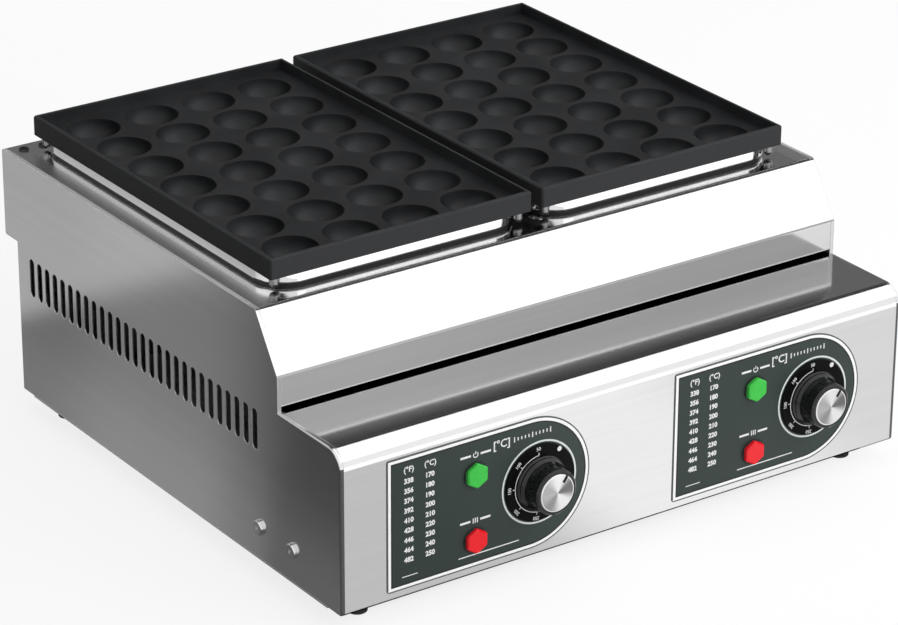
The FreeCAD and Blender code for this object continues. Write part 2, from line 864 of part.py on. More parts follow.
def knob(side):
    """Moulded knob: flat round dial, two steps, fluted grip, hollow back and a hub on the shaft."""
    x = knob_centre(side)
    z = control_height
    front = Vector(0, -1, 0)
    body = revolved(knob_profile(), x, knob_back, z)
    body = body.cut(revolved(knob_hollow_profile(), x, knob_back, z))
    hub = rod(shaft_radius + knob_wall, x, knob_back - hub_setback, z, knob_length - 2 * hub_setback, front)
    recess = rod(cap_radius + thread_gap, x, knob_face_seat(), z, cap_thickness, front)
    flutes = []
    centre = knob_grip_radius + flute_lift
    for i in range(flute_count):
        angle = 2 * math.pi * i / flute_count
        fx = x + centre * math.sin(angle)
        fz = z + centre * math.cos(angle)
        flutes.append(rod(flute_radius, fx, knob_back - flute_start, fz, knob_length, front))
    body = joined([body, hub]).cut(recess).cut(Part.makeCompound(flutes))
    depth = knob_length - shaft_end
    bore = rod(shaft_radius + knob_fit, x, knob_back, z, depth + knob_fit, front)
    bore = bore.cut(shaft_key(x, knob_fit))
    bore.rotate(Vector(x, 0, z), Vector(0, 1, 0), notch_angle)
    return body.cut(bore)


def knob_face_seat():
    """Y of the floor of the shallow recess in the knob's face, where the metal cap lies."""
    return knob_front + cap_thickness - cap_proud


def knob_cap(side):
    """Spun metal cap in the knob's face, with the pointer's notch in its edge."""
    x = knob_centre(side)
    back = knob_face_seat()
    cap = rod(cap_radius, x, back, control_height, cap_thickness, Vector(0, -1, 0))
    edge = [e for e in cap.Edges if e.Closed and e.CenterOfMass.y < back - 0.1]
    cap = cap.makeFillet(cap_proud * 0.7, edge)
    notch = block((x - notch_width / 2, x + notch_width / 2), (back - 2 * cap_thickness, back + 1),
                  (control_height + cap_radius - notch_length, control_height + cap_radius + 1))
    notch.rotate(Vector(x, 0, control_height), Vector(0, 1, 0), notch_angle)
    return cap.cut(notch)


def control_label(side):
    """Printed overlay with square corners on the left and a half-round right end."""
    left = unit_centre(side) - body_width / 4 + label_setback
    low = underside + label_rise
    high = low + label_height
    radius = label_height / 2
    right = left + label_length - radius
    middle = (low + high) / 2
    outline = [
        Part.LineSegment(Vector(left, 0, low), Vector(right, 0, low)).toShape(),
        Part.Arc(Vector(right, 0, low), Vector(right + radius, 0, middle), Vector(right, 0, high)).toShape(),
        Part.LineSegment(Vector(right, 0, high), Vector(left, 0, high)).toShape(),
        Part.LineSegment(Vector(left, 0, high), Vector(left, 0, low)).toShape(),
    ]
    label = Part.Face(Part.Wire(outline)).extrude(Vector(0, -label_sheet, 0))
    square = [e for e in label.Edges if abs(e.tangentAt(e.FirstParameter).y) > 0.9
              and e.CenterOfMass.x < left + 1]
    label = label.makeFillet(label_corner, square)
    holes = [(knob_centre(side), control_height, nose_radius)]
    holes += [(x, control_height, screw_radius) for x in thermostat_screw_places(side)]
    holes += [(lamp_centre(side), z, lamp_shank_radius) for z in lamp_heights()]
    for x, z, hole_radius in holes:
        label = label.cut(rod(hole_radius, x, 2 * label_face, z, 3 * label_sheet, Vector(0, 1, 0)))
    return label


def lamp_lens(side, z):
    """Six-sided coloured lens on a round flange, with a socket in its back."""
    x = lamp_centre(side)
    front = Vector(0, -1, 0)
    corner = lens_flat / math.cos(math.pi / 6)
    face = label_face - lens_flange
    body = prism(6, corner, x, face, z, lens_height, front)
    body = body.makeFillet(lens_corner, [e for e in body.Edges if abs(e.tangentAt(0).y) > 0.9])
    outer = [e for e in body.Edges if e.CenterOfMass.y < face - lens_height + 0.01]
    body = body.makeChamfer(lens_bevel, outer)
    return joined([rod(lens_flange_radius, x, label_face, z, lens_flange, front), body])


def lamp_holder(side, z):
    """Threaded barrel behind the lens, through the fascia, with two tabs at its rear."""
    x = lamp_centre(side)
    back = Vector(0, 1, 0)
    barrel = rod(lamp_shank_radius - thread_gap, x, label_face, z, lamp_length, back)
    end = label_face + lamp_length
    spread = lamp_tab_spread
    tabs = [tab(x + dx, end, z, lamp_tab_width, upright=True) for dx in (-spread, spread)]
    return joined([barrel] + tabs)


def lamp_nuts():
    """Hexagon nuts that clamp the four lamps against the fascia."""
    nuts = []
    for side in SIDES:
        for z in lamp_heights():
            x = lamp_centre(side)
            nut = prism(6, lamp_nut_radius, x, inner_front, z, lamp_nut, Vector(0, 1, 0))
            nuts.append(nut.cut(rod(lamp_shank_radius, x, 0, z, 3 * lamp_nut, Vector(0, 1, 0))))
    return nuts


# ---- plates ----
def pit_places(side):
    """Centres of the pits' mouths."""
    places = []
    for i in range(columns):
        for j in range(rows):
            x = plate_centre(side) + (i - (columns - 1) / 2) * pitch_across
            y = plate_middle + (j - (rows - 1) / 2) * pitch_along
            places.append(Vector(x, y, floor_height))
    return places


def stud_places(side):
    """(x, y) of the four studs under one plate."""
    x = plate_width / 2 - stud_inset
    y = plate_depth / 2 - stud_inset
    middle = plate_centre(side)
    return [(middle + sx * x, plate_middle + sy * y) for sx in (-1, 1) for sy in (-1, 1)]


def cup(centre):
    """Outside of one pit: a short round wall under the floor, then a cone down to a flat end."""
    radius = pit_radius + pit_wall
    shoulder = floor_height - cup_shoulder
    top = seat_height + floor_thickness / 2
    wall = rod(radius, centre.x, centre.y, shoulder, top - shoulder)
    base = Vector(centre.x, centre.y, cup_bottom)
    return wall.fuse(Part.makeCone(cup_base_radius, radius, shoulder - cup_bottom, base)).removeSplitter()


def mould_plate(side):
    """One casting: raised rim, floor with round pits, a cup under each pit, and a short skirt."""
    middle = plate_centre(side)
    half = plate_width / 2
    inner = half - rim_wall
    y_in = (plate_front + rim_wall, plate_back - rim_wall)
    slab = block((middle - half, middle + half), (plate_front, plate_back), (skirt_bottom, rim_top))
    slab = slab.makeChamfer(rim_bevel, [e for e in slab.Edges if e.CenterOfMass.z > skirt_bottom + 1])
    slab = slab.cut(block((middle - inner, middle + inner), y_in, (floor_height, rim_top + 1)))
    slab = slab.cut(block((middle - inner, middle + inner), y_in, (skirt_bottom - 1, seat_height)))
    pits = [Part.makeSphere(pit_radius, centre) for centre in pit_places(side)]
    plate = slab.multiFuse([cup(centre) for centre in pit_places(side)]).cut(Part.makeCompound(pits))
    for x, y in stud_places(side):
        plate = plate.cut(rod(screw_radius, x, y, seat_height - 1, floor_thickness))
    return plate


def plate_studs(side):
    """Round steel nubs screwed under the plate's corners, which keep it square on its collar."""
    studs = []
    low = skirt_bottom - stud_reach
    for x, y in stud_places(side):
        stud = rod(stud_radius, x, y, low, seat_height - low)
        edge = [e for e in stud.Edges if e.Closed and e.CenterOfMass.z < low + 1]
        stud = stud.makeFillet(stud_round, edge)
        stud = stud.fuse(rod(screw_radius - knob_fit, x, y, seat_height - 1, floor_thickness - thread_gap))
        studs.append(stud.removeSplitter())
    return studs


# ---- feet, supply and fasteners ----
def foot(x, y):
    """Tapered rubber foot with a counterbored hole for its screw."""
    height = pan_floor
    body = Part.makeCone(foot_toe_radius, foot_radius, height, Vector(x, y, 0))
    toe = [e for e in body.Edges if e.Closed and e.CenterOfMass.z < 1]
    body = body.makeFillet(sheet, toe)
    body = body.cut(rod(screw_head_radius + sheet, x, y, -1, foot_recess + 1))
    return body.cut(rod(screw_radius, x, y, 0, height + 1))


def foot_screws():
    """Screws that hold the feet to the base pan."""
    length = pan_floor - foot_recess + screw_length - sheet
    return [screw(x, y, foot_recess, length, Vector(0, 0, 1)) for x, y in foot_places()]


def side_screws(side):
    """Large-headed screws through a side panel into the base pan."""
    s = SIDES[side]
    into = Vector(-s, 0, 0)
    return [screw(s * half_width, y, z, screw_length + sheet, into, side_screw_head_radius, side_screw_head)
            for y, z in side_screw_places()]


def rear_screws():
    """Screws through the rear panel into the side panels' strips."""
    rail = half_width - sheet - flange_width / 2
    return [screw(x, body_depth, z, screw_length, Vector(0, -1, 0))
            for z in rear_screw_heights() for x in (-rail, rail)]


def hood_screws():
    """Screws through the hood's rear corners."""
    return [screw(x, y, hood_top, screw_length, Vector(0, 0, -1), head=low_screw_head)
            for x, y in hood_screw_places()]


def base_screws():
    """Screws through the front and rear flanges into the base pan."""
    return [screw(x, y, underside, screw_length, Vector(0, 0, 1), head=low_screw_head)
            for x in base_screw_columns() for y in base_screw_rows()]


def thermostat_screws():
    """Screws through label and fascia into the thermostats, hidden by the knobs."""
    return [screw(x, label_face, control_height, screw_length, Vector(0, 1, 0))
            for side in SIDES for x in thermostat_screw_places(side)]


def terminal_middle():
    """(x, y) of the terminal block, in line with the cable gland."""
    return gland_offset, body_depth - terminal_setback


def terminal_screw_places():
    """(x, y) of the terminal block's two screws."""
    x, y = terminal_middle()
    reach = terminal_width / 2 - terminal_screw_inset
    return [(x - reach, y), (x + reach, y)]


def terminal_block():
    """Three-way block on the base pan, with wire holes and a screw well over each."""
    x, y = terminal_middle()
    floor = pan_floor + sheet
    top = floor + terminal_height
    half = terminal_width / 2
    deep = terminal_depth / 2
    body = block((x - half, x + half), (y - deep, y + deep), (floor, top))
    for edge in (y - deep, y + deep):
        ledge = block((x - half - 1, x + half + 1), (edge - terminal_shoulder, edge + terminal_shoulder),
                      (top - terminal_shoulder, top + 1))
        body = body.cut(ledge)
    height = floor + terminal_height / 3
    for way in (x - terminal_pitch, x, x + terminal_pitch):
        body = body.cut(rod(terminal_bore, way, y - deep - 1, height, terminal_depth + 2, Vector(0, 1, 0)))
        body = body.cut(rod(terminal_well, way, y, height, terminal_height))
    for sx, sy in terminal_screw_places():
        body = body.cut(rod(screw_radius, sx, sy, floor - 1, terminal_height + 2))
    return body


def terminal_screws():
    """Screws that hold the terminal block."""
    top = pan_floor + sheet + terminal_height
    length = terminal_height + 3 * sheet
    return [screw(x, y, top, length, Vector(0, 0, -1)) for x, y in terminal_screw_places()]


def earth_place():
    """(x, y) of the earth stud."""
    x, y = terminal_middle()
    return x + earth_offset, y


def earth_stud():
    """Earth screw from under the base pan, with its nut."""
    x, y = earth_place()
    floor = pan_floor + sheet
    stud = screw(x, y, pan_floor, 3 * screw_length, Vector(0, 0, 1))
    nut = prism(6, earth_nut_radius, x, y, floor, earth_nut, Vector(0, 0, 1))
    return stud, nut.cut(rod(screw_radius, x, y, floor - 1, 2 * earth_nut))


def cable_gland():
    """Cable gland: threaded barrel through the rear panel, hexagon flange and domed cap outside."""
    height = underside + gland_rise
    back = Vector(0, 1, 0)
    x = gland_offset
    inside = body_depth - sheet - gland_thread
    barrel = rod(gland_radius - thread_gap, x, inside, height, gland_thread + sheet, back)
    flange = prism(6, gland_nut_radius, x, body_depth, height, gland_flange, back)
    cap = rod(gland_dome_radius, x, body_depth + gland_flange, height, gland_dome, back)
    edge = [e for e in cap.Edges if e.Closed and e.CenterOfMass.y > body_depth + gland_flange + 1]
    cap = cap.makeFillet(fold_radius, edge)
    gland = joined([barrel, flange, cap])
    return gland.cut(rod(cable_radius, x, inside - 1, height, body_depth, back))


def gland_nut():
    """Lock nut of the cable gland, inside the rear panel."""
    height = underside + gland_rise
    start = body_depth - sheet - gland_nut_height
    back = Vector(0, 1, 0)
    nut = prism(6, gland_nut_radius, gland_offset, start, height, gland_nut_height, back)
    return nut.cut(rod(gland_radius, gland_offset, start - 1, height, 2 * gland_nut_height, back))


# ---- wiring ----
def wire(points):
    """Insulated wire through points, bent to one radius."""
    return tube_along([Vector(*p) for p in points], [wire_bend] * (len(points) - 2), wire_radius)


def tab_sleeve(x, y, z, upright=False):
    """Push-on terminal at the end of a tab."""
    width = sleeve_height if upright else tab_width
    tall = tab_width if upright else sleeve_height
    return block((x - width / 2, x + width / 2), (y, y + sleeve_length), (z - tall / 2, z + tall / 2))


def pin_sleeve(x):
    """Crimped end under one element pin."""
    return rod(pin_sleeve_radius, x, leg_front(), pin_end() - sleeve_length, sleeve_length)


def pin_end():
    """Height of the lower end of the element pins."""
    return tray_bottom - element_tail - pin_length


def thermostat_tab(side, across, up):
    """The point at the end of one of a thermostat's tabs; across and up are -1 or 1."""
    reach = thermostat_width / 2 - tab_width
    y = inner_front + thermostat_plate + thermostat_depth + tab_length
    return knob_centre(side) + across * reach, y, control_height + up * reach


def lamp_tab(side, across, z):
    """The point at the end of one of a lamp's tabs."""
    return lamp_centre(side) + across * lamp_tab_spread, label_face + lamp_length + tab_length, z


def live_lead(side, across, pin):
    """Wire from one of a thermostat's upper tabs to an element pin."""
    x, y, z = thermostat_tab(side, across, 1)
    start = y + sleeve_length
    pin_low = pin_end() - sleeve_length
    level = pin_low - wire_turn
    points = [(x, start, z), (x, start + wire_turn, z), (x, start + wire_turn, level),
              (pin, leg_front(), level), (pin, leg_front(), pin_low)]
    return joined([tab_sleeve(x, y, z), wire(points), pin_sleeve(pin)])


def neutral_link(side):
    """Wire that joins the outer pins of one plate's two elements."""
    first, last = tray_hole_places(side)[0], tray_hole_places(side)[-1]
    top = pin_end() - sleeve_length
    level = top - 2 * wire_turn + wire_bend
    y = leg_front()
    path = wire([(first, y, top), (first, y, level), (last, y, level), (last, y, top)])
    return [pin_sleeve(first), path, pin_sleeve(last)]


def wire_floor():
    """Height of the middle of a wire that lies on the base pan."""
    return pan_floor + sheet + wire_radius


def terminal_way(i):
    """(x, y of the front, y of the rear, z) of one way of the terminal block; i is -1, 0 or 1."""
    x, y = terminal_middle()
    deep = terminal_depth / 2
    return x + i * terminal_pitch, y - deep, y + deep, pan_floor + sheet + terminal_height / 3


def neutral_wires(side):
    """The link and the feed of one plate: the left feed enters the block in front, the right behind."""
    pin = tray_hole_places(side)[-1]
    way, front, rear, height = terminal_way(-1)
    up = pin_end() - sleeve_length / 2
    down = leg_front() + pin_sleeve_radius + 2 * wire_turn
    low = wire_floor()
    if side == "left":
        turn, entry, inside = front - 2 * wire_turn, front - wire_turn, front + neutral_entry
    else:
        turn, entry, inside = rear + 2 * wire_turn, rear + wire_turn, rear - neutral_entry
    points = [(pin, leg_front(), up), (pin, down, up), (pin, down, low), (pin, turn, low),
              (way, turn, low), (way, entry, height), (way, inside, height)]
    return joined(neutral_link(side) + [wire(points)])


def supply_wire(side):
    """Wire from the terminal block to a thermostat's lower tab; the two run side by side."""
    x, y, z = thermostat_tab(side, -1, -1)
    way, front, rear, height = terminal_way(1)
    lane = way + SIDES[side] * wire_side_gap
    row = y + sleeve_length + (2 * wire_row if side == "left" else wire_row)
    start = y + sleeve_length
    low = wire_floor()
    points = [(x, start, z), (x, row, z), (x, row, low), (lane, row, low), (lane, front - wire_turn, low),
              (lane, front - sheet, height), (lane, front + wire_entry, height)]
    if side == "left":
        points[1:3] = [(x, start + wire_row, z), (x, start + wire_row, low), (x, row, low)]
    return joined([tab_sleeve(x, y, z), wire(points)])


def lamp_link(side):
    """Wire between the outer tabs of the two lamps."""
    lower, upper = lamp_heights()
    x, y, z = lamp_tab(side, -1, upper)
    start = y + sleeve_length
    path = wire([(x, start, upper), (x, start + wire_turn, upper), (x, start + wire_turn, lower),
                 (x, start, lower)])
    return joined([tab_sleeve(x, y, upper, True), path, tab_sleeve(x, y, lower, True)])


def heat_lamp_lead(side):
    """Wire from the lower lamp to the thermostat's other lower tab."""
    x, y, z = lamp_tab(side, 1, lamp_heights()[0])
    far_x, far_y, far_z = thermostat_tab(side, 1, -1)
    start = y + sleeve_length
    row = start + wire_bend + sheet
    path = wire([(x, start, z), (x, row, z), (far_x, row, z), (far_x, row, far_z),
                 (far_x, far_y + sleeve_length, far_z)])
    return joined([tab_sleeve(x, y, z, True), path, tab_sleeve(far_x, far_y, far_z)])


def earth_wire():
    """Wire from the block's middle way to the earth stud, with a ring lug on the stud's nut."""
    way, front, rear, height = terminal_way(0)
    x, y = earth_place()
    top = pan_floor + sheet + earth_nut
    edge = earth_nut_radius + wire_bend
    back = rear + wire_turn
    lug = rod(earth_nut_radius, x, y, top, lug_sheet)
    tongue = block((x - lug_width / 2, x + lug_width / 2), (y, y + edge), (top, top + lug_sheet))
    lug = lug.fuse(tongue).cut(rod(screw_radius, x, y, top - 1, 4 * lug_sheet))
    points = [(way, rear - wire_entry, height), (way, back, height), (x, back, top + wire_radius),
              (x, y + earth_nut_radius + sheet, top + wire_radius)]
    return joined([lug, wire(points)])


# ---- build ----
frame_middle = (hood_back + knob_front - cap_proud) / 2
os.makedirs("parts", exist_ok=True)

left = left_side_panel()
save("left_side_panel", left)
save("right_side_panel", mirrored(left))
save("hood_shell", hood_shell())
save("front_fascia", front_fascia())
save("rear_panel", rear_panel())
save("base_pan", base_pan())
for name in SIDES:
    save("well_collar_" + name, well_collar(name))
    save("heat_tray_" + name, heat_tray(name))
    outer_left, inner_left, inner_right, outer_right = leg_offsets()
    save("heating_element_" + name + "_a", heating_element(name, inner_left, outer_left))
    save("heating_element_" + name + "_b", heating_element(name, inner_right, outer_right))
    save("element_racks_" + name, *[element_rack(name, y) for y in rack_places()])
    save("thermostat_bulb_" + name, thermostat_bulb(name))
    save("capillary_" + name, capillary(name))
    save("thermostat_" + name, thermostat(name))
    save("thermostat_shaft_" + name, thermostat_shaft(name))
    save("control_label_" + name, control_label(name))
    save("knob_" + name, knob(name))
    save("knob_cap_" + name, knob_cap(name))
    lower, upper = lamp_heights()
    save("power_lens_" + name, lamp_lens(name, upper))
    save("heat_lens_" + name, lamp_lens(name, lower))
    save("lamp_holders_" + name, lamp_holder(name, upper), lamp_holder(name, lower))
    save("mould_plate_" + name, mould_plate(name))
    save("plate_studs_" + name, *plate_studs(name))
    save("side_screws_" + name, *side_screws(name))
    pins = tray_hole_places(name)
    leads = [live_lead(name, -1, pins[1]), live_lead(name, 1, pins[2])]
    save("element_wires_" + name, *leads, neutral_wires(name))
save("control_wires", *[make(name) for name in SIDES for make in (supply_wire, lamp_link, heat_lamp_lead)],
     earth_wire())
save("lamp_nuts", *lamp_nuts())
save("thermostat_screws", *thermostat_screws())
for end, (x, y) in zip(("front_left", "front_right", "rear_left", "rear_right"), foot_places()):
    save("foot_" + end, foot(x, y))
save("foot_screws", *foot_screws())
save("hood_screws", *hood_screws())
save("rear_screws", *rear_screws())
save("base_screws", *base_screws())
save("terminal_block", terminal_block())
save("terminal_screws", *terminal_screws())
save("earth_stud", *earth_stud())
save("cable_gland", cable_gland())
save("gland_nut", gland_nut())
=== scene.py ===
import bpy
import math
import numpy as np
from mathutils import Matrix, Vector


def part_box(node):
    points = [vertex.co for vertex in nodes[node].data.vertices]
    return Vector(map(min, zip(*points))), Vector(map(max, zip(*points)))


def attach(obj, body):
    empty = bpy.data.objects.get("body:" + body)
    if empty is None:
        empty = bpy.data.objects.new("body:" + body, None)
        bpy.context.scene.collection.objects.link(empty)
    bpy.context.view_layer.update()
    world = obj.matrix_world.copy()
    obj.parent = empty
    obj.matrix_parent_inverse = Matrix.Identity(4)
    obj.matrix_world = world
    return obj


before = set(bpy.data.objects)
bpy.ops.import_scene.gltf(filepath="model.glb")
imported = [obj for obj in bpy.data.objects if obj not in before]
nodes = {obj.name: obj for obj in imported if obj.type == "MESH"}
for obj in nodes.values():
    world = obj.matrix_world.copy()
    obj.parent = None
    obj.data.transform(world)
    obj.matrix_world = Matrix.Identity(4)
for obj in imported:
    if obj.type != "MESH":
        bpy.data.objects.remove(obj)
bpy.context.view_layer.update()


# ---- Studio: floor, cards and lamps ----
# A white floor and three soft boxes light the machine.  Black, grey and bright cards, which only
# shiny surfaces see, stand round it, so that sheet metal shows its folds.  One black card on the
# left is seen by dull surfaces alone, and keeps fill light off them.
class Signal:
    """An output in a node tree.  Sums, products and comparisons of signals and numbers add their
    Math nodes, and node() adds any other node."""

    def __init__(self, tree, socket=None):
        self.tree = tree
        self.socket = socket

    def node(self, kind, settings={}, inputs={}, output=0):
        """Adds a node: its settings first, then a value or a link for each input."""
        made = self.tree.nodes.new(kind)
        for name, value in settings.items():
            setattr(made, name, value)
        sockets = {socket.identifier: socket for socket in made.inputs}
        for name, value in inputs.items():
            if isinstance(value, Signal):
                self.tree.links.new(value.socket, sockets[name])
            else:
                sockets[name].default_value = value
        found = {socket.identifier: socket for socket in made.outputs}
        picked = found.get(output) or (made.outputs[0] if made.outputs else None)
        return Signal(self.tree, picked)

    def maths(self, operation, *terms):
        """Adds a Math node with up to three terms."""
        names = ["Value", "Value_001", "Value_002"]
        return self.node("ShaderNodeMath", {"operation": operation}, dict(zip(names, terms)))

    def __add__(self, other): return self.maths("ADD", self, other)
    def __radd__(self, other): return self.maths("ADD", other, self)
    def __sub__(self, other): return self.maths("SUBTRACT", self, other)
    def __rsub__(self, other): return self.maths("SUBTRACT", other, self)
    def __mul__(self, other): return self.maths("MULTIPLY", self, other)
    def __rmul__(self, other): return self.maths("MULTIPLY", other, self)
    def __gt__(self, other): return self.maths("GREATER_THAN", self, other)
    def __lt__(self, other): return self.maths("LESS_THAN", self, other)
    def __abs__(self): return self.maths("ABSOLUTE", self)
    def highest(self, other): return self.maths("MAXIMUM", self, other)
    def lowest(self, other): return self.maths("MINIMUM", self, other)
    def sine(self): return self.maths("SINE", self)

    def repeat(self, pitch):
        """Distance from the nearest multiple of pitch, with its sign."""
        return self.maths("WRAP", self, pitch / 2, -pitch / 2)

    def far(self, other):
        """Length of the flat vector made of two signals."""
        return self.maths("SQRT", self * self + other * other)

    def rise(self, low, high, start=0.0, end=1.0):
        """Goes smoothly from start to end while this signal goes from low to high."""
        ends = {"Value": self, "From Min": low, "From Max": high, "To Min": start, "To Max": end}
        return self.node("ShaderNodeMapRange", {"interpolation_type": "SMOOTHSTEP"}, ends, "Result")

    def blend(self, first, second):
        """Colour that goes from first to second as this signal goes from 0 to 1."""
        pair = {"Factor_Float": self, "A_Color": first, "B_Color": second}
        return self.node("ShaderNodeMix", {"data_type": "RGBA"}, pair, "Result_Color")

    def axes(self):
        return [self.node("ShaderNodeSeparateXYZ", {}, {"Vector": self}, axis) for axis in "XYZ"]

    def stretched(self, scale):
        return self.node("ShaderNodeMapping", {}, {"Vector": self, "Scale": scale})

    def noise(self, scale, detail=2.0, roughness=0.5):
        sizes = {"Vector": self, "Scale": scale, "Detail": detail, "Roughness": roughness}
        return self.node("ShaderNodeTexNoise", {}, sizes)

    def cells(self, scale, output="Distance"):
        return self.node("ShaderNodeTexVoronoi", {}, {"Vector": self, "Scale": scale}, output)


def grey(level):
    return (level, level, level, 1.0)


def new_material(name):
    """An empty material, and the signal of the piece's own coordinates in metres."""
    material = bpy.data.materials.new(name)
    material.use_nodes = True
    material.node_tree.nodes.clear()
    return material, Signal(material.node_tree).node("ShaderNodeTexCoord", output="Object")


def stage_card(name, centre, across, up, material):
    """A flat rectangle of the studio: centre plus and minus its two half-edges."""
    c, a, b = (np.array(v, float) for v in (centre, across, up))
    mesh = bpy.data.meshes.new(name)
    mesh.from_pydata([tuple(c + s * a + t * b) for s, t in ((-1, -1), (1, -1), (1, 1), (-1, 1))],
                     [], [(0, 1, 2, 3)])
    mesh.materials.append(material)
    card = bpy.data.objects.new(name, mesh)
    bpy.context.scene.collection.objects.link(card)
    return card


def seen_directly(pen):
    """1 for rays that show the backdrop: straight, mirrored or through clear matter."""
    kinds = ("Is Camera Ray", "Is Glossy Ray", "Is Transmission Ray")
    camera, glossy, through = (pen.node("ShaderNodeLightPath", output=kind) for kind in kinds)
    return camera.highest(glossy).highest(through)


world = bpy.data.worlds.new("studio")
bpy.context.scene.world = world
world.use_nodes = True
world.node_tree.nodes.clear()
air = Signal(world.node_tree)
ambient = 0.42
backdrop = air.node("ShaderNodeBackground", {}, {
    "Color": grey(1.0), "Strength": seen_directly(air) * (1 - ambient) + ambient})
air.node("ShaderNodeOutputWorld", {}, {"Surface": backdrop})

floor_material, place = new_material("studio_floor")
paper = place.node("ShaderNodeBsdfDiffuse", {}, {"Color": grey(0.9)})
glow = place.node("ShaderNodeEmission", {}, {"Color": grey(1.0), "Strength": 1.04})
glow_share = 0.8
x, y, _ = place.axes()
# Under the machine the paper doesn't glow, so that the shadow stays dark there.
under = abs(x).rise(0.17, 0.23, 1.0, 0.0) * abs(y).rise(0.14, 0.20, 1.0, 0.0)
both = place.node("ShaderNodeMixShader", {}, {
    "Fac": seen_directly(place) * (1 - under) * glow_share, "Shader": paper, "Shader_001": glow})
place.node("ShaderNodeOutputMaterial", {}, {"Surface": both})
stage_card("floor", (0, 0, 0), (8, 0, 0), (0, 8, 0), floor_material)


def flag(name, centre, across, up, level, one_sided=False):
    """A card for reflections alone, which it returns.  Its level is a number, or a function of the
    card's X, Y and Z.  A one-sided card is clear from behind."""
    material, spot = new_material(name)
    strength = level(*spot.axes()) if callable(level) else level
    glow = spot.node("ShaderNodeEmission", {}, {"Color": grey(1.0), "Strength": strength})
    if one_sided:
        behind = spot.node("ShaderNodeNewGeometry", output="Backfacing")
        clear = spot.node("ShaderNodeBsdfTransparent")
        faces = {"Fac": behind, "Shader": glow, "Shader_001": clear}
        glow = spot.node("ShaderNodeMixShader", {}, faces)
    spot.node("ShaderNodeOutputMaterial", {}, {"Surface": glow})
    card = stage_card(name, centre, across, up, material)
    card.visible_camera = False
    card.visible_diffuse = False
    card.visible_transmission = False
    card.visible_shadow = False
    return card


half_width, rear_y = 0.24, 0.22
# Along Y, for each metre away from the left side, in what that side mirrors to the camera.
mirror_slant = 1.428


def left_floor_level(x, y, z):
    """What the left side shows.  across is the Y of the panel that a point of the floor is mirrored
    in: dark at the front, paler in the middle and a little darker to the rear.  The top of the
    panel is pale, and its foot is a little paler than its middle."""
    across = y + (x + half_width) * mirror_slant
    return (across.rise(-0.135, -0.095, 0.10, 0.18) + across.rise(-0.10, -0.02, 0.0, 0.085)
            - across.rise(0.08, 0.22, 0.0, 0.085) + y.rise(0.335, 0.385, 0.0, 0.30)
            + x.rise(-0.36, -0.26, -0.035, 0.035) + x.rise(-0.46, -0.36, -0.02, 0.0))


def front_floor_level(x, y, z):
    """Light grey before the fascia, palest in the middle and white further out."""
    near = x.rise(-0.08, 0.04, 0.62, 1.02) - x.rise(0.12, 0.27, 0.0, 0.2)
    return near.highest(y.rise(-0.46, -0.42, 1.25, 0.0))


def far_floor_level(x, y, z):
    """Mid-grey at the right side and the rear, paler further out, and black under the machine."""
    beyond = (x - half_width).highest(y - rear_y)
    return beyond.rise(0.0, 0.9, 0.34, 0.72) * (beyond > -0.02)


def brow_level(x, y, z):
    """From front to rear: black, a dark grey stretch, and nearly black."""
    return y.rise(-0.133, -0.130, 0.01, 0.16) - y.rise(-0.125, -0.122, 0.0, 0.12)


def lip_level(x, y, z):
    """Mid-grey, a little darker to the right."""
    return x.rise(-0.2, 0.25, 0.57, 0.48)


flag("left_floor_flag", (-0.745, 0.45, 0.002), (0.5, 0, 0), (0, 0.95, 0), left_floor_level)
flag("front_floor_flag", (0.15, -0.62, 0.003), (0.85, 0, 0), (0, 0.4, 0), front_floor_level)
flag("far_floor_flag", (0.5, 0.45, 0.0015), (0.745, 0, 0), (0, 0.95, 0), far_floor_level)
flag("overhead_flag", (0, 3.15, 2.4), (3, 0, 0), (0, 2.4, 0), 0.02)
flag("rear_flag", (1.5, 2.2, 1.2), (2.2, 0, 0), (0, 0, 1.25), 0.15)
flag("rear_left_flag", (-2.2, 2.2, 1.2), (1.49, 0, 0), (0, 0, 1.25), 0.6)
flag("key_card", (1.24, -2.14, 2.2), (1.1, 0.64, 0), (0, 0, 1.1), 1.6)
flag("top_card", (1.3, -0.72, 2.4), (1.6, 0, 0), (0, 1.47, 0), 1.3)
flag("brow_flag", (0.05, -0.1255, 0.235), (0.32, 0, 0), (0, 0.0245, 0), brow_level)
flag("lip_flag", (0.03, -0.2005, 0.169), (-0.30, 0, 0), (0, 0, 0.0325), lip_level, one_sided=True)
dark_fill = flag("dark_fill", (-0.62, 0, 0.45), (0, 0.9, 0), (0, 0, 0.45), 0.0)
dark_fill.visible_diffuse = True
dark_fill.visible_glossy = False
flag("collar_flag", (0.015, -0.122, 0.196), (-0.245, 0, 0), (0, 0, 0.0065), 1.4, one_sided=True)


def soft_box(name, place, target, width, height, watts):
    """A large soft lamp aimed at a point, kept out of reflections."""
    lamp = bpy.data.lights.new(name, "AREA")
    lamp.shape = "RECTANGLE"
    lamp.size = width
    lamp.size_y = height
    lamp.energy = watts
    holder = bpy.data.objects.new(name, lamp)
    holder.location = place
    holder.rotation_euler = (Vector(target) - Vector(place)).to_track_quat("-Z", "Y").to_euler()
    holder.visible_glossy = False
    bpy.context.scene.collection.objects.link(holder)


soft_box("key_lamp", (1.7, -2.2, 1.9), (0, 0, 0.1), 2.4, 2.0, 50)
soft_box("front_lamp", (-0.4, -2.7, 1.3), (0, 0, 0.1), 1.8, 1.4, 20)
soft_box("top_lamp", (0.2, 0.3, 2.6), (0, 0, 0.2), 2.0, 2.0, 14)


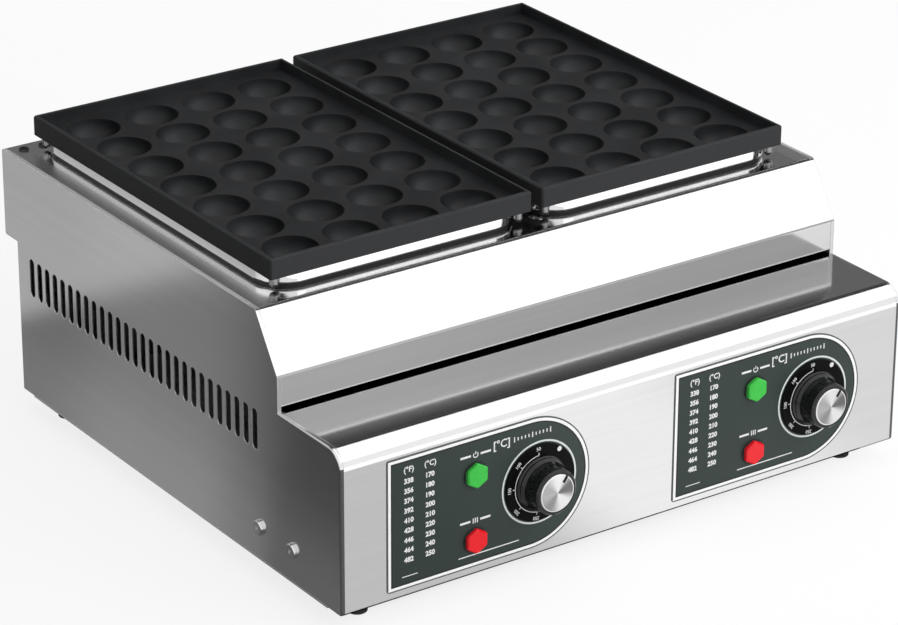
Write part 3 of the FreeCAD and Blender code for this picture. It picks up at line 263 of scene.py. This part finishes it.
def aim_camera(centre, turn, tilt, roll, focal):
    """A camera at a point, turned about Z, tilted down and rolled, all in degrees."""
    a, e, r = (math.radians(angle) for angle in (turn, tilt, roll))
    back = Vector((math.sin(a) * math.cos(e), -math.cos(a) * math.cos(e), math.sin(e)))
    right = Vector((math.cos(a), math.sin(a), 0))
    up = back.cross(right)
    level = right * math.cos(r) + up * math.sin(r)
    rolled = up * math.cos(r) - right * math.sin(r)
    lens = bpy.data.cameras.new("camera")
    lens.lens = focal
    lens.sensor_width = 36.0
    lens.clip_end = 30.0
    camera = bpy.data.objects.new("camera", lens)
    axes = Matrix((level, rolled, back)).transposed().to_4x4()
    camera.matrix_world = Matrix.Translation(centre) @ axes
    bpy.context.scene.collection.objects.link(camera)
    bpy.context.scene.camera = camera


aim_camera((-1.4753, -2.1123, 1.2489), -34.84, 24.09, 0.22, 155.23)
bpy.context.scene.view_settings.view_transform = "Standard"


# ---- Base pan ----
# The bottom is a pan of galvanised sheet, with its sides folded up inside the side panels.  Zinc
# crystals show as pale and dark patches a few millimetres to a centimetre across.
def shade(place, inputs):
    """Closes a material with one Principled shader."""
    skin = place.node("ShaderNodeBsdfPrincipled", {}, inputs)
    place.node("ShaderNodeOutputMaterial", {}, {"Surface": skin})


def soft_normal(place, height, strength, distance, edge=0.0005):
    """Normal of a surface with rounded edges and a fine relief."""
    rounded = place.node("ShaderNodeBevel", {"samples": 4}, {"Radius": edge}, "Normal")
    relief = {"Strength": strength, "Distance": distance, "Height": height, "Normal": rounded}
    return place.node("ShaderNodeBump", {}, relief, "Normal")


def dress(material, *names):
    """Gives CAD nodes a material."""
    for name in names:
        mesh = nodes[name].data
        if not mesh.materials:
            mesh.materials.append(material)
        for slot in nodes[name].material_slots:
            slot.material = material


material, place = new_material("galvanised_sheet")
crystals = place.cells(140, "Color").axes()[0]
film = place.noise(60, 4)
shade(place, {
    "Base Color": (crystals * 0.7 + film * 0.3).blend(grey(0.42), grey(0.62)),
    "Metallic": 1.0,
    "Roughness": crystals.rise(0, 1, 0.34, 0.52) + film * 0.06,
    "Normal": soft_normal(place, crystals + film, 0.15, 0.0002)})
dress(material, "base_pan")


# ---- Feet ----
# Four tapered black rubber feet stand under the pan, each on one screw in a counterbore.  Dust from
# the counter has greyed the toes.
material, place = new_material("foot_rubber")
height = place.axes()[2]
grain = place.noise(900, 3)
dust = height.rise(0.0, 0.006, 1.0, 0.0) * place.noise(120, 3)
shade(place, {
    "Base Color": dust.blend((0.014, 0.014, 0.015, 1), (0.07, 0.067, 0.062, 1)),
    "Roughness": grain.rise(0.3, 0.7, 0.62, 0.8),
    "Normal": soft_normal(place, grain, 0.25, 0.0002)})
dress(material, "foot_front_left", "foot_front_right", "foot_rear_left", "foot_rear_right")


# ---- Sheet metal covers ----
# Front cover, side covers, rear cover and hood are folded from 1 mm stainless steel with a close,
# bright grain along each sheet.  The shelf's darker tone is painted shade, wiping has dulled the
# hood's side strips, the side covers' cut edges are ground, and gaps are painted black as shade.
def plain_zone(x, y, z):
    """A sheet of one tone, with no painted shade and no rough places."""
    return 0.0, 0.0, 0.0, 0.0


def brushed(name, grain, level=0.82, polish=0.07, zone=plain_zone):
    """Stainless steel with its brush lines along one axis: grain is the noise's scale on each axis,
    and zone turns the coordinates into where the tone is lowered as painted shade, that lower tone,
    the black painted shade of gaps and extra roughness."""
    material, place = new_material(name)
    fine = place.stretched(grain).noise(1.0, 3, 0.6)
    broad = place.stretched([g * 0.12 for g in grain]).noise(1.0, 2)
    hands = place.noise(9, 3)
    painted_shade_part, painted_shade_tone, painted_gap_shade, rough = zone(*place.axes())
    tone = (fine * 0.4 + broad * 0.4 + hands * 0.2).rise(0.3, 0.7, level - 0.02, level + 0.02)
    # Painted shade: a darker tone on the shelf, and black in the gaps.
    tone = (tone + painted_shade_part * (painted_shade_tone - level)) * (1 - painted_gap_shade)
    shade(place, {
        "Base Color": tone.blend(grey(0.0), grey(1.0)),
        "Metallic": 1 - painted_gap_shade,
        "Roughness": fine.rise(0.3, 0.7, polish, polish + 0.03) + hands * 0.03 + rough,
        "Normal": soft_normal(place, fine, 0.05, 0.00004, 0.0009)})
    return material


hood_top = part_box("hood_shell")[1].z
lip_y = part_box("hood_shell")[0].y
lip_back = lip_y + 0.0008
panel_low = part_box("left_side_panel")[0]
shelf_top = panel_low.z + 0.1214
seam_y = panel_low.y + 0.0012
vent_first, vent_pitch, vent_count = -0.10905, 0.01134, 28
vent_middle, vent_straight = 0.112, 0.0117


def hood_zone(x, y, z):
    """The groove under the lip is painted black as shade, and wiping has dulled the two side strips
    of the top."""
    groove = (z < shelf_top + 0.0034) * (y > lip_back) * (y < lip_y + 0.02)
    strips = (z > hood_top - 0.0003) * abs(x).rise(0.220, 0.228)
    return 0.0, 0.0, groove, strips * 0.24


def front_zone(x, y, z):
    """Up to the lip the flat shelf is painted a darker tone as shade, and the groove behind the lip
    is painted black as shade.
    """
    shelf = (z > shelf_top - 0.00005) * (y < lip_back)
    groove = (z > shelf_top - 0.0001) * (y > lip_back)
    return shelf, 0.74, groove, 0.0


def side_zone(x, y, z):
    """Each vent has a duller rim, about half a millimetre wide, where the punch has rounded its
    edge.  The cut edge along the hood is ground, and the front edge by the front cover is painted
    nearly black as shade in the gap."""
    near = (y - vent_first).repeat(vent_pitch)
    beyond = (abs(z - vent_middle) - vent_straight).highest(0.0)
    rim = near.far(beyond).rise(0.0036, 0.0043, 1.0, 0.0)
    row_end = vent_first + (vent_count - 0.5) * vent_pitch
    rim = rim * (y > vent_first - 0.005) * (y < row_end)
    ground = (z > hood_top - 0.0005) * 0.5
    seam = (y < seam_y) * (z < shelf_top - 0.012)
    return 0.0, 0.0, seam * 0.9, (rim * 0.14).highest(ground)


along_x = (6, 900, 900)
along_y = (900, 6, 900)
dress(brushed("brushed_front", along_x, zone=front_zone), "front_fascia")
dress(brushed("brushed_hood", along_x, zone=hood_zone), "hood_shell")
dress(brushed("brushed_rear", along_x), "rear_panel")
side_steel = brushed("brushed_sides", along_y, 0.80, 0.15, side_zone)
dress(side_steel, "left_side_panel", "right_side_panel")


# ---- Well collars ----
# Each plate stands on an upright ring of polished stainless steel, welded into the hood's opening.
# A bright band stands out round it, and the groove between band and hood is coloured black.
material, place = new_material("polished_collar")
up = place.axes()[2]
band_foot = hood_top + 0.0022
groove = up < band_foot
rub = place.noise(180, 3)
shade(place, {
    "Base Color": groove.blend(rub.blend(grey(0.84), grey(0.90)), grey(0.004)),
    "Metallic": 1 - groove,
    "Roughness": rub.rise(0.3, 0.7, 0.07, 0.11) + groove * 0.4,
    "Normal": soft_normal(place, rub, 0.03, 0.00002, 0.0004)})
dress(material, "well_collar_left", "well_collar_right")


# ---- Heat trays and racks ----
# Aluminised steel trays hang in the wells and throw the heat up.  Heat has browned them in
# patches, and drips have left darker spots.
material, place = new_material("aluminised_sheet")
cloud = place.noise(14, 5)
spots = place.cells(75).rise(0.0, 0.35, 1.0, 0.0) * place.noise(30, 2)
warm = cloud.rise(0.35, 0.7).blend((0.58, 0.58, 0.57, 1), (0.40, 0.33, 0.26, 1))
shade(place, {
    "Base Color": spots.blend(warm, (0.13, 0.10, 0.08, 1)),
    "Metallic": 1.0,
    "Roughness": cloud.rise(0.3, 0.7, 0.36, 0.55) + spots * 0.2,
    "Normal": soft_normal(place, cloud, 0.2, 0.0003)})
dress(material, "heat_tray_left", "heat_tray_right", "element_racks_left", "element_racks_right")


# ---- Heating elements ----
# Hairpin elements have a stainless sheath, on which firing has left a dark oxide from grey-green
# to brown.  Their cold ends below the tray stay brighter.
material, place = new_material("element_sheath")
up = place.axes()[2]
tray_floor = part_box("heat_tray_left")[0].z
hot = up.rise(tray_floor, tray_floor + 0.02)
mottle = place.noise(160, 4)
oxide = mottle.rise(0.35, 0.65).blend((0.075, 0.078, 0.062, 1), (0.15, 0.13, 0.105, 1))
shade(place, {
    "Base Color": hot.blend((0.45, 0.43, 0.40, 1), oxide),
    "Metallic": hot.rise(0, 1, 1.0, 0.45),
    "Roughness": mottle.rise(0.3, 0.7, 0.42, 0.6),
    "Normal": soft_normal(place, mottle, 0.2, 0.0002)})
for side in ("left", "right"):
    dress(material, "heating_element_%s_a" % side, "heating_element_%s_b" % side)


# ---- Bright turned parts ----
# The sensing bulbs, the thermostat shafts and the plate studs are turned from steel, with fine tool
# rings round them.  The studs have a darker tone.
ring_wave = 14000  # radians a metre, a ring every 0.45 mm


def turned(name, axis, dark=0.56, bright=0.68):
    """Bright steel with tool rings along an axis."""
    material, place = new_material(name)
    rings = (place.axes()[axis] * ring_wave).sine() * 0.5 + place.noise(700, 2) * 0.5
    shade(place, {
        "Base Color": place.noise(90, 3).blend(grey(dark), grey(bright)),
        "Metallic": 1.0,
        "Roughness": rings.rise(0, 1, 0.2, 0.32),
        "Normal": soft_normal(place, rings, 0.08, 0.00005, 0.0003)})
    return material


bright_along_y = turned("turned_shaft", 1)
for side in ("left", "right"):
    dress(bright_along_y, "thermostat_bulb_" + side, "thermostat_shaft_" + side)
    dress(turned("turned_stud_" + side, 2, 0.22, 0.34), "plate_studs_" + side)


# ---- Capillaries ----
# A copper capillary runs from each bulb to its thermostat.  It is drawn bright and tarnishes brown
# in patches.
material, place = new_material("copper_capillary")
tarnish = place.noise(70, 4)
shade(place, {
    "Base Color": tarnish.rise(0.4, 0.65).blend((0.80, 0.42, 0.27, 1), (0.36, 0.18, 0.11, 1)),
    "Metallic": 1.0,
    "Roughness": tarnish.rise(0.3, 0.7, 0.22, 0.46),
    "Normal": soft_normal(place, tarnish, 0.1, 0.0001, 0.0002)})
dress(material, "capillary_left", "capillary_right")


# ---- Thermostats ----
# Each thermostat has a black phenolic switch housing behind a zinc-plated mounting plate, and a
# plated diaphragm and push-on tabs at its rear.
material, place = new_material("thermostat")
depth = place.axes()[1]
face_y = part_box("front_fascia")[0].y
plate_back, housing_back = face_y + 0.0023, face_y + 0.0262
metal = (depth < plate_back).highest(depth > housing_back)
glaze = place.noise(260, 3)
phenolic = glaze.blend((0.016, 0.014, 0.013, 1), (0.030, 0.027, 0.024, 1))
zinc = glaze.blend((0.40, 0.39, 0.36, 1), (0.52, 0.50, 0.46, 1))
shade(place, {
    "Base Color": metal.blend(phenolic, zinc),
    "Metallic": metal,
    "Roughness": metal.rise(0, 1, 0.5, 0.3) + glaze * 0.1,
    "Normal": soft_normal(place, glaze, 0.15, 0.0001)})
dress(material, "thermostat_left", "thermostat_right")


# ---- Wiring ----
# Glass-braided silicone leads run from the supply terminals to the thermostats, lamps and elements.
# The braid is ivory and a little soiled, and sleeves of the same colour cover its crimped ends.
material, place = new_material("braided_lead")
braid = place.cells(1500)
tired = place.noise(45, 3)
shade(place, {
    "Base Color": (braid * 0.5 + tired * 0.5).blend((0.30, 0.28, 0.24, 1), (0.50, 0.48, 0.43, 1)),
    "Roughness": braid.rise(0.0, 0.6, 0.72, 0.58),
    "Normal": soft_normal(place, braid, 0.4, 0.0002, 0.0002)})
dress(material, "element_wires_left", "element_wires_right", "control_wires")


# ---- Printed overlays ----
# A half-millimetre polyester overlay is glued to the front for each plate.  It is printed from
# behind: a dark outline, a white band, a black line and a dark green field, with a pale ring for
# the dial.
def middle_of(name, axis):
    """The middle of a node's box along one axis: 0 is X, 1 is Y and 2 is Z."""
    return sum(corner[axis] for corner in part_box(name)) / 2


label_z = [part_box("control_label_left")[k].z for k in (0, 1)]
label_middle = sum(label_z) / 2
label_radius = (label_z[1] - label_z[0]) / 2
knob_z = 0.070
ring_radius = 0.0304
for side in ("left", "right"):
    low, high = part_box("control_label_" + side)
    knob_x = middle_of("knob_cap_" + side, 0)
    material, place = new_material("printed_overlay_" + side)
    x, _, z = place.axes()
    bend = (x - (high.x - label_radius)).highest(0.0)
    inside = (label_radius - bend.far(z - label_middle)).lowest(x - low.x)
    outline = inside.rise(0.0009, 0.0011, 1.0, 0.0)
    field = inside.rise(0.0030, 0.0032)
    border = inside.rise(0.0040, 0.0044, 1.0, 0.0)
    off_ring = abs((x - knob_x).far(z - knob_z) - ring_radius)
    ring = off_ring.rise(0.0006, 0.0008, 1.0, 0.0)
    # Painted light: the green field goes from darker at the left end to lighter at the right.
    painted_light_fade = x.rise(low.x, high.x)
    weave = place.noise(2600, 2)
    green = painted_light_fade.blend((0.022, 0.035, 0.030, 1), (0.031, 0.046, 0.041, 1))
    printed = border.blend(green, grey(0.012))
    printed = field.blend(grey(0.92), printed)
    printed = ring.blend(printed, (0.70, 0.74, 0.72, 1))
    printed = outline.blend(printed, (0.09, 0.10, 0.10, 1))
    shade(place, {
        "Base Color": printed,
        "Roughness": weave.rise(0.3, 0.7, 0.36, 0.48),
        "Specular IOR Level": 0.3,
        "Normal": soft_normal(place, weave, 0.12, 0.00005, 0.0002)})
    dress(material, "control_label_" + side)


# ---- Printing ----
# Numbers, rules and plain marks stand in white ink on the overlays and on the dials.  The tables
# set degrees Fahrenheit beside degrees Celsius.
print_material, place = new_material("white_ink")
ink = place.noise(1800, 3)
shade(place, {
    "Base Color": ink.rise(0.3, 0.6).blend(grey(0.66), grey(0.84)),
    "Roughness": ink.rise(0.3, 0.7, 0.5, 0.65),
    "Normal": soft_normal(place, ink, 0.1, 0.00003, 0.0001)})
ink_depth = 0.00006
label_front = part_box("control_label_left")[0].y


def new_piece(name, points, faces, material, body):
    """A flat-shaded piece of the machine, from an array of points and a list of faces."""
    mesh = bpy.data.meshes.new(name)
    mesh.from_pydata(points.tolist(), [], faces)
    mesh.materials.append(material)
    mesh.update()
    piece = bpy.data.objects.new(name, mesh)
    bpy.context.scene.collection.objects.link(piece)
    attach(piece, body)


def plate_of(flat, faces):
    """A closed plate of a flat outline: the outline in front, its copy behind, and a wall at each
    face edge that no other face shares."""
    count = len(flat)
    front = np.column_stack([flat[:, 0], np.full(count, -ink_depth), flat[:, 1]])
    rear = front + [0, 2 * ink_depth, 0]
    edges = [(face[k], face[(k + 1) % len(face)]) for face in faces for k in range(len(face))]
    taken = set(edges)
    free = [(a, b) for a, b in edges if (b, a) not in taken]
    walls = [(b, a, a + count, b + count) for a, b in free]
    backs = [tuple(v + count for v in reversed(face)) for face in faces]
    return np.vstack([front, rear]), list(faces) + backs + walls


def bar(x0, z0, x1, z1, width):
    """A straight stroke as a closed plate: its corners are its ends moved by half its width to each
    side, in front of and behind the printed face."""
    start, end = np.array([x0, z0]), np.array([x1, z1])
    along = (end - start) / np.linalg.norm(end - start)
    side = np.array([-along[1], along[0]]) * width / 2
    flat = np.array([start - side, end - side, end + side, start + side])
    return plate_of(flat, [(0, 1, 2, 3)])


def arc(radius, width, first, last, centre=(0.0, 0.0), steps=72):
    """Part of a ring: two rows of points at radius plus and minus half the width, at angles counted
    clockwise from the top in degrees."""
    turn = np.radians(np.linspace(first, last, steps + 1))
    rows = [np.column_stack([centre[0] + r * np.sin(turn), centre[1] + r * np.cos(turn)])
            for r in (radius - width / 2, radius + width / 2)]
    order = 1 if last < first else -1
    faces = [(k, k + 1, k + steps + 2, k + steps + 1)[::-order] for k in range(steps)]
    return plate_of(np.vstack(rows), faces)


def lettering(text, size, weight=0.0):
    """Outlines of a few signs as a closed plate, centred on the origin of X and Z."""
    curve = bpy.data.curves.new("signs", "FONT")
    curve.body = text
    curve.size = size
    curve.offset = weight
    curve.extrude = ink_depth
    curve.resolution_u = 3
    holder = bpy.data.objects.new("signs", curve)
    bpy.context.scene.collection.objects.link(holder)
    bpy.context.view_layer.update()
    shown = holder.evaluated_get(bpy.context.evaluated_depsgraph_get())
    mesh = bpy.data.meshes.new_from_object(shown)
    points = np.zeros(len(mesh.vertices) * 3)
    mesh.vertices.foreach_get("co", points)
    points = points.reshape(-1, 3)
    faces = [tuple(polygon.vertices) for polygon in mesh.polygons]
    bpy.data.objects.remove(holder)
    bpy.data.meshes.remove(mesh)
    bpy.data.curves.remove(curve)
    points = points - (points.min(0) + points.max(0)) / 2
    return np.column_stack([points[:, 0], -points[:, 2], points[:, 1]]), faces


def moved(part, x=0.0, z=0.0, turn=0.0):
    """A part turned clockwise by turn degrees and then moved."""
    points, faces = part
    a = math.radians(turn)
    px = points[:, 0] * math.cos(a) + points[:, 2] * math.sin(a) + x
    pz = points[:, 2] * math.cos(a) - points[:, 0] * math.sin(a) + z
    return np.column_stack([px, points[:, 1], pz]), faces


def together(parts, y):
    """All parts as one set of points and faces, on the plane y."""
    points, faces, count = [], [], 0
    for part_points, part_faces in parts:
        points.append(part_points + [0, y, 0])
        faces += [tuple(v + count for v in face) for face in part_faces]
        count += len(part_points)
    return np.vstack(points), faces


celsius = range(170, 251, 10)
fahrenheit = [c * 9 // 5 + 32 for c in celsius]
row_pitch = 0.00735
bottom, top = label_z
for side in ("left", "right"):
    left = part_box("control_label_" + side)[0].x
    marks = []

    # A table of two columns, each with its unit above.
    for column, sign, numbers in ((0.0175, "(°F)", fahrenheit), (0.0348, "(°C)", celsius)):
        marks.append(moved(lettering(sign, 0.0056, 0.00014), left + column, bottom + 0.0882))
        for row, number in enumerate(numbers):
            row_z = bottom + 0.0876 - row_pitch * (row + 1)
            marks.append(moved(lettering(str(number), 0.0050, 0.00022), left + column, row_z))

    # Over each lamp, a sign between two dashes: supply is a broken ring with a stroke, heating is
    # three strokes.
    lamp_x = middle_of("power_lens_" + side, 0)
    for lens in ("power_lens_", "heat_lens_"):
        caption = middle_of(lens + side, 2) + 0.0148
        for start, end in ((-0.0125, -0.004), (0.004, 0.0125)):
            marks.append(bar(lamp_x + start, caption, lamp_x + end, caption, 0.0016))
        if lens == "power_lens_":
            marks.append(arc(0.0019, 0.0007, -320, -40, (lamp_x, caption), 24))
            marks.append(bar(lamp_x, caption + 0.0004, lamp_x, caption + 0.0026, 0.0007))
        else:
            for shift in (-0.0017, 0.0, 0.0017):
                stroke = lamp_x + shift
                marks.append(bar(stroke, caption - 0.0019, stroke, caption + 0.0019, 0.0008))

    # The unit over the dial, with a row of eleven ticks.
    unit_x, tick_z = left + 0.0930, top - 0.0120
    marks.append(moved(lettering("[°C]", 0.0082, 0.00012), unit_x, top - 0.0126))
    for tick in range(11):
        tick_x = unit_x + 0.0105 + tick * 0.003
        tall = 0.0020 if tick % 5 == 0 else 0.0012
        marks.append(bar(tick_x, tick_z - tall, tick_x, tick_z + tall, 0.0009))

    # A rule under the table, and one under the dial.
    marks.append(bar(left + 0.012, bottom + 0.0092, left + 0.0246, bottom + 0.0092, 0.0006))
    marks.append(bar(left + 0.058, bottom + 0.0094, left + 0.108, bottom + 0.0094, 0.0008))
    points, faces = together(marks, label_front)
    new_piece("label_print_" + side, points, faces, print_material, "housing")


# ---- Knobs and dials ----
# One black phenolic moulding makes the flat dial, two steps and the fluted grip.  The dial is
# duller than steps and grip, and carries its off dot, its numbers and a thin scale line in white
# ink.
dial_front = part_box("knob_left")[1].y - 0.0015
material, place = new_material("knob_black")
grain = place.noise(1400, 2)
smear = place.noise(60, 3)
grip = place.axes()[1] < dial_front - 0.0004
shade(place, {
    "Base Color": smear.blend((0.002, 0.002, 0.0022, 1), (0.005, 0.005, 0.0053, 1)),
    "Specular IOR Level": 0.06,
    "Coat Weight": grip * 0.9,
    "Coat Roughness": 0.16,
    "Roughness": grain.rise(0.3, 0.7, 0.26, 0.34) + smear * 0.08,
    "Normal": soft_normal(place, grain, 0.1, 0.00005, 0.0006)})
dress(material, "knob_left", "knob_right")


def on_dial(radius, angle):
    """X and Z of a point of the dial, at an angle clockwise from the top in radians."""
    return radius * math.sin(angle), radius * math.cos(angle)


scale_radius, tick_end, number_radius = 0.0214, 0.0234, 0.0262
off_radius, off_angle = 0.0266, 0.611
for side in ("left", "right"):
    knob_x = middle_of("knob_cap_" + side, 0)
    marks = [arc(0.00095, 0.0018, 0, -360, on_dial(off_radius, off_angle), 24)]
    for number, turn in ((50, -5), (100, -46), (150, -88), (200, -130), (250, -172), (300, -214)):
        angle = math.radians(turn)
        sign = lettering(str(number), 0.0036, 0.00005)
        marks.append(moved(sign, *on_dial(number_radius, angle), turn))
        marks.append(bar(*on_dial(scale_radius, angle), *on_dial(tick_end, angle), 0.0006))
    marks.append(arc(scale_radius, 0.0006, -5, -214))
    points, faces = together(marks, dial_front)
    points = points + [knob_x, 0, knob_z]
    new_piece("dial_print_" + side, points, faces, print_material, side + "_knob")


# ---- Knob caps ----
# A spun aluminium disc is pressed into each knob's face.  Turning marks run round it, and bright
# and dark wedges and a bright ring at its edge are painted into its colour as highlights.
groove_wave = 16000  # radians a metre, a mark every 0.39 mm
for side in ("left", "right"):
    cap_x = middle_of("knob_cap_" + side, 0)
    material, place = new_material("spun_cap_" + side)
    x, _, z = place.axes()
    around = place.maths("ARCTAN2", x - cap_x, z - knob_z)
    radius = (x - cap_x).far(z - knob_z)
    # Painted highlights: bright and dark wedges round the cap, and a bright ring at its edge.
    painted_highlight_wedges = (around * 2 + 2.2).sine() * 0.3 + (around * 3 + 0.6).sine() * 0.22 + 0.5
    rings = (radius * groove_wave).sine() * 0.5 + 0.5
    rim = radius.rise(0.0124, 0.0132)
    tone = (painted_highlight_wedges + rings * 0.06).highest(rim * 0.9)
    shade(place, {
        "Base Color": tone.rise(0.05, 0.95).blend(grey(0.20), grey(0.92)),
        "Metallic": 1.0,
        "Roughness": rings.rise(0, 1, 0.22, 0.32),
        "Normal": soft_normal(place, rings, 0.08, 0.00003, 0.0002)})
    dress(material, "knob_cap_" + side)


# ---- Lamp lenses ----
# Six-sided lenses of clear-coloured polycarbonate, green for supply and red for heating, sit on a
# dark flange.  Fine ribs inside spread the light.
flange_front = label_front - 0.00081
rib_wave = 5200  # radians a metre, a rib every 1.2 mm


def lens_material(name, deep, bright):
    """Clear-coloured plastic between two tones, with a dark flange behind it."""
    material, place = new_material(name)
    x, y, _ = place.axes()
    flange = y > flange_front
    ribs = (x * rib_wave).sine() * 0.5 + 0.5
    body = (ribs * 0.35 + place.noise(300, 2) * 0.5).blend(deep, bright)
    shade(place, {
        "Base Color": flange.blend(body, grey(0.02)),
        "Roughness": flange.rise(0, 1, 0.16, 0.5) + ribs * 0.03,
        "Coat Weight": flange.rise(0, 1, 0.15, 0.0),
        "Emission Color": flange.blend(body, grey(0.0)),
        "Emission Strength": 0.12,
        "Specular IOR Level": 0.3,
        "Normal": soft_normal(place, ribs, 0.1, 0.00008, 0.0004)})
    return material


green = lens_material("lens_green", (0.024, 0.40, 0.038, 1), (0.050, 0.55, 0.070, 1))
red = lens_material("lens_red", (0.66, 0.003, 0.009, 1), (0.86, 0.008, 0.018, 1))
for side in ("left", "right"):
    dress(green, "power_lens_" + side)
    dress(red, "heat_lens_" + side)


# ---- Lamp holders and nuts ----
# Threaded black nylon barrels hold the lenses from behind, each with its hexagon nut and two tinned
# tabs.
material, place = new_material("lamp_nylon")
depth = place.axes()[1]
tab_length = 0.008
thread_wave = 6283  # radians a metre, a thread every millimetre
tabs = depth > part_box("lamp_holders_left")[1].y - tab_length
thread = (depth * thread_wave).sine() * 0.5 + 0.5
matte = place.noise(600, 2)
shade(place, {
    "Base Color": tabs.blend(matte.blend(grey(0.018), grey(0.03)), (0.66, 0.64, 0.60, 1)),
    "Metallic": tabs,
    "Roughness": matte.rise(0.3, 0.7, 0.42, 0.55),
    "Normal": soft_normal(place, thread, 0.4, 0.0003, 0.0002)})
dress(material, "lamp_holders_left", "lamp_holders_right", "lamp_nuts")


# ---- Mould plates ----
# Each plate is an aluminium casting with 28 half-round pits, blacked by a baked non-stick coating.
# The coating is pebbled and shinier in the pits, and oil has browned the lands round them.  Light
# is painted onto the skirt as a paler tone, and the rim's top is paler from wear and a painted
# highlight.
pit_pitch, pit_radius = (0.0491, 0.0444), 0.0202
bed_half, bed_depth = (0.100, 0.158), 0.0084
for side in ("left", "right"):
    low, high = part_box("mould_plate_" + side)
    middle = (low + high) / 2
    floor_z = high.z - bed_depth
    material, place = new_material("cast_plate_" + side)
    x, y, z = place.axes()
    across = (x - middle.x + pit_pitch[0] / 2).repeat(pit_pitch[0])
    along = (y - middle.y).repeat(pit_pitch[1])
    from_pit = across.far(along)
    from_middle = abs(x - middle.x), abs(y - middle.y)
    in_bed = (from_middle[0] < bed_half[0]) * (from_middle[1] < bed_half[1])
    land = (z > floor_z - 0.0005) * (z < floor_z + 0.001) * in_bed
    pit = (from_pit < pit_radius) * (z < floor_z - 0.0005) * in_bed
    stain = from_pit.rise(0.0195, 0.027, 1.0, 0.0) * place.noise(70, 4).rise(0.35, 0.65) * land
    pebbles = place.noise(1100, 3)
    cloud = place.noise(22, 4)
    coat = cloud.rise(0.35, 0.65).blend((0.013, 0.014, 0.0155, 1), (0.021, 0.0225, 0.0245, 1))
    # Along the rim's top the coating is paler: partly wear, partly a painted highlight.
    rim_wear_and_highlight = z.rise(high.z - 0.0013, high.z - 0.0004) * place.noise(50, 3).rise(0.3, 0.6, 0.5, 1.0)
    past_x = from_middle[0] - (high.x - low.x) / 2
    past_y = from_middle[1] - (high.y - low.y) / 2
    skirt = (past_x.highest(past_y) > -0.0012) * (z < high.z - 0.0006)
    # Painted light: the skirt gets a paler tone than the top.
    coat = skirt.blend(coat, (0.040, 0.041, 0.043, 1))
    coat = (rim_wear_and_highlight * 0.4).blend(coat, (0.055, 0.057, 0.060, 1))
    shade(place, {
        "Base Color": (stain * 0.35).blend(coat, (0.030, 0.022, 0.016, 1)),
        "Specular IOR Level": 0.08,
        "Coat Weight": (1 - skirt) * 0.5,
        "Coat Roughness": 0.42,
        "Roughness": pebbles.rise(0.3, 0.7, 0.40, 0.5) + cloud * 0.08 - pit * 0.12 - stain * 0.1,
        "Normal": soft_normal(place, pebbles, 0.25, 0.00025, 0.0010)})
    dress(material, "mould_plate_" + side)


# ---- Screws ----
# Most screws are zinc-plated pan heads, a little scuffed by the driver.  Those in the side covers
# have larger, polished heads.  The low-headed ones in the hood and under the pan are blackened.
def screw_finish(name, dark, bright, metal, polish=0.22):
    """Scuffed metal between two tones; polish is its lowest roughness."""
    material, place = new_material(name)
    scuff = place.noise(420, 4)
    shade(place, {
        "Base Color": scuff.blend(grey(dark), grey(bright)),
        "Metallic": metal,
        "Roughness": scuff.rise(0.3, 0.7, polish, polish + 0.16),
        "Normal": soft_normal(place, scuff, 0.15, 0.0001, 0.0003)})
    return material


dress(screw_finish("bright_screws", 0.70, 0.86, 1.0, 0.10),
      "side_screws_left", "side_screws_right")
dress(screw_finish("plated_screws", 0.36, 0.60, 1.0),
      "thermostat_screws", "foot_screws", "rear_screws", "terminal_screws", "earth_stud")
dress(screw_finish("blackened_screws", 0.02, 0.07, 0.6),
      "hood_screws", "base_screws")


# ---- Supply ----
# The mains lead comes in through a black nylon gland in the rear cover, to a glazed ceramic
# terminal block on the base pan beside the earth stud.
material, place = new_material("gland_nylon")
matte = place.noise(500, 3)
shade(place, {
    "Base Color": matte.blend(grey(0.022), grey(0.036)),
    "Roughness": matte.rise(0.3, 0.7, 0.45, 0.6),
    "Normal": soft_normal(place, matte, 0.2, 0.0001)})
dress(material, "cable_gland", "gland_nut")

material, place = new_material("terminal_glaze")
glaze = place.noise(320, 3)
shade(place, {
    "Base Color": glaze.blend((0.78, 0.76, 0.70, 1), (0.88, 0.87, 0.82, 1)),
    "Roughness": glaze.rise(0.3, 0.7, 0.2, 0.34),
    "Coat Weight": 0.5,
    "Normal": soft_normal(place, glaze, 0.1, 0.0001)})
dress(material, "terminal_block")
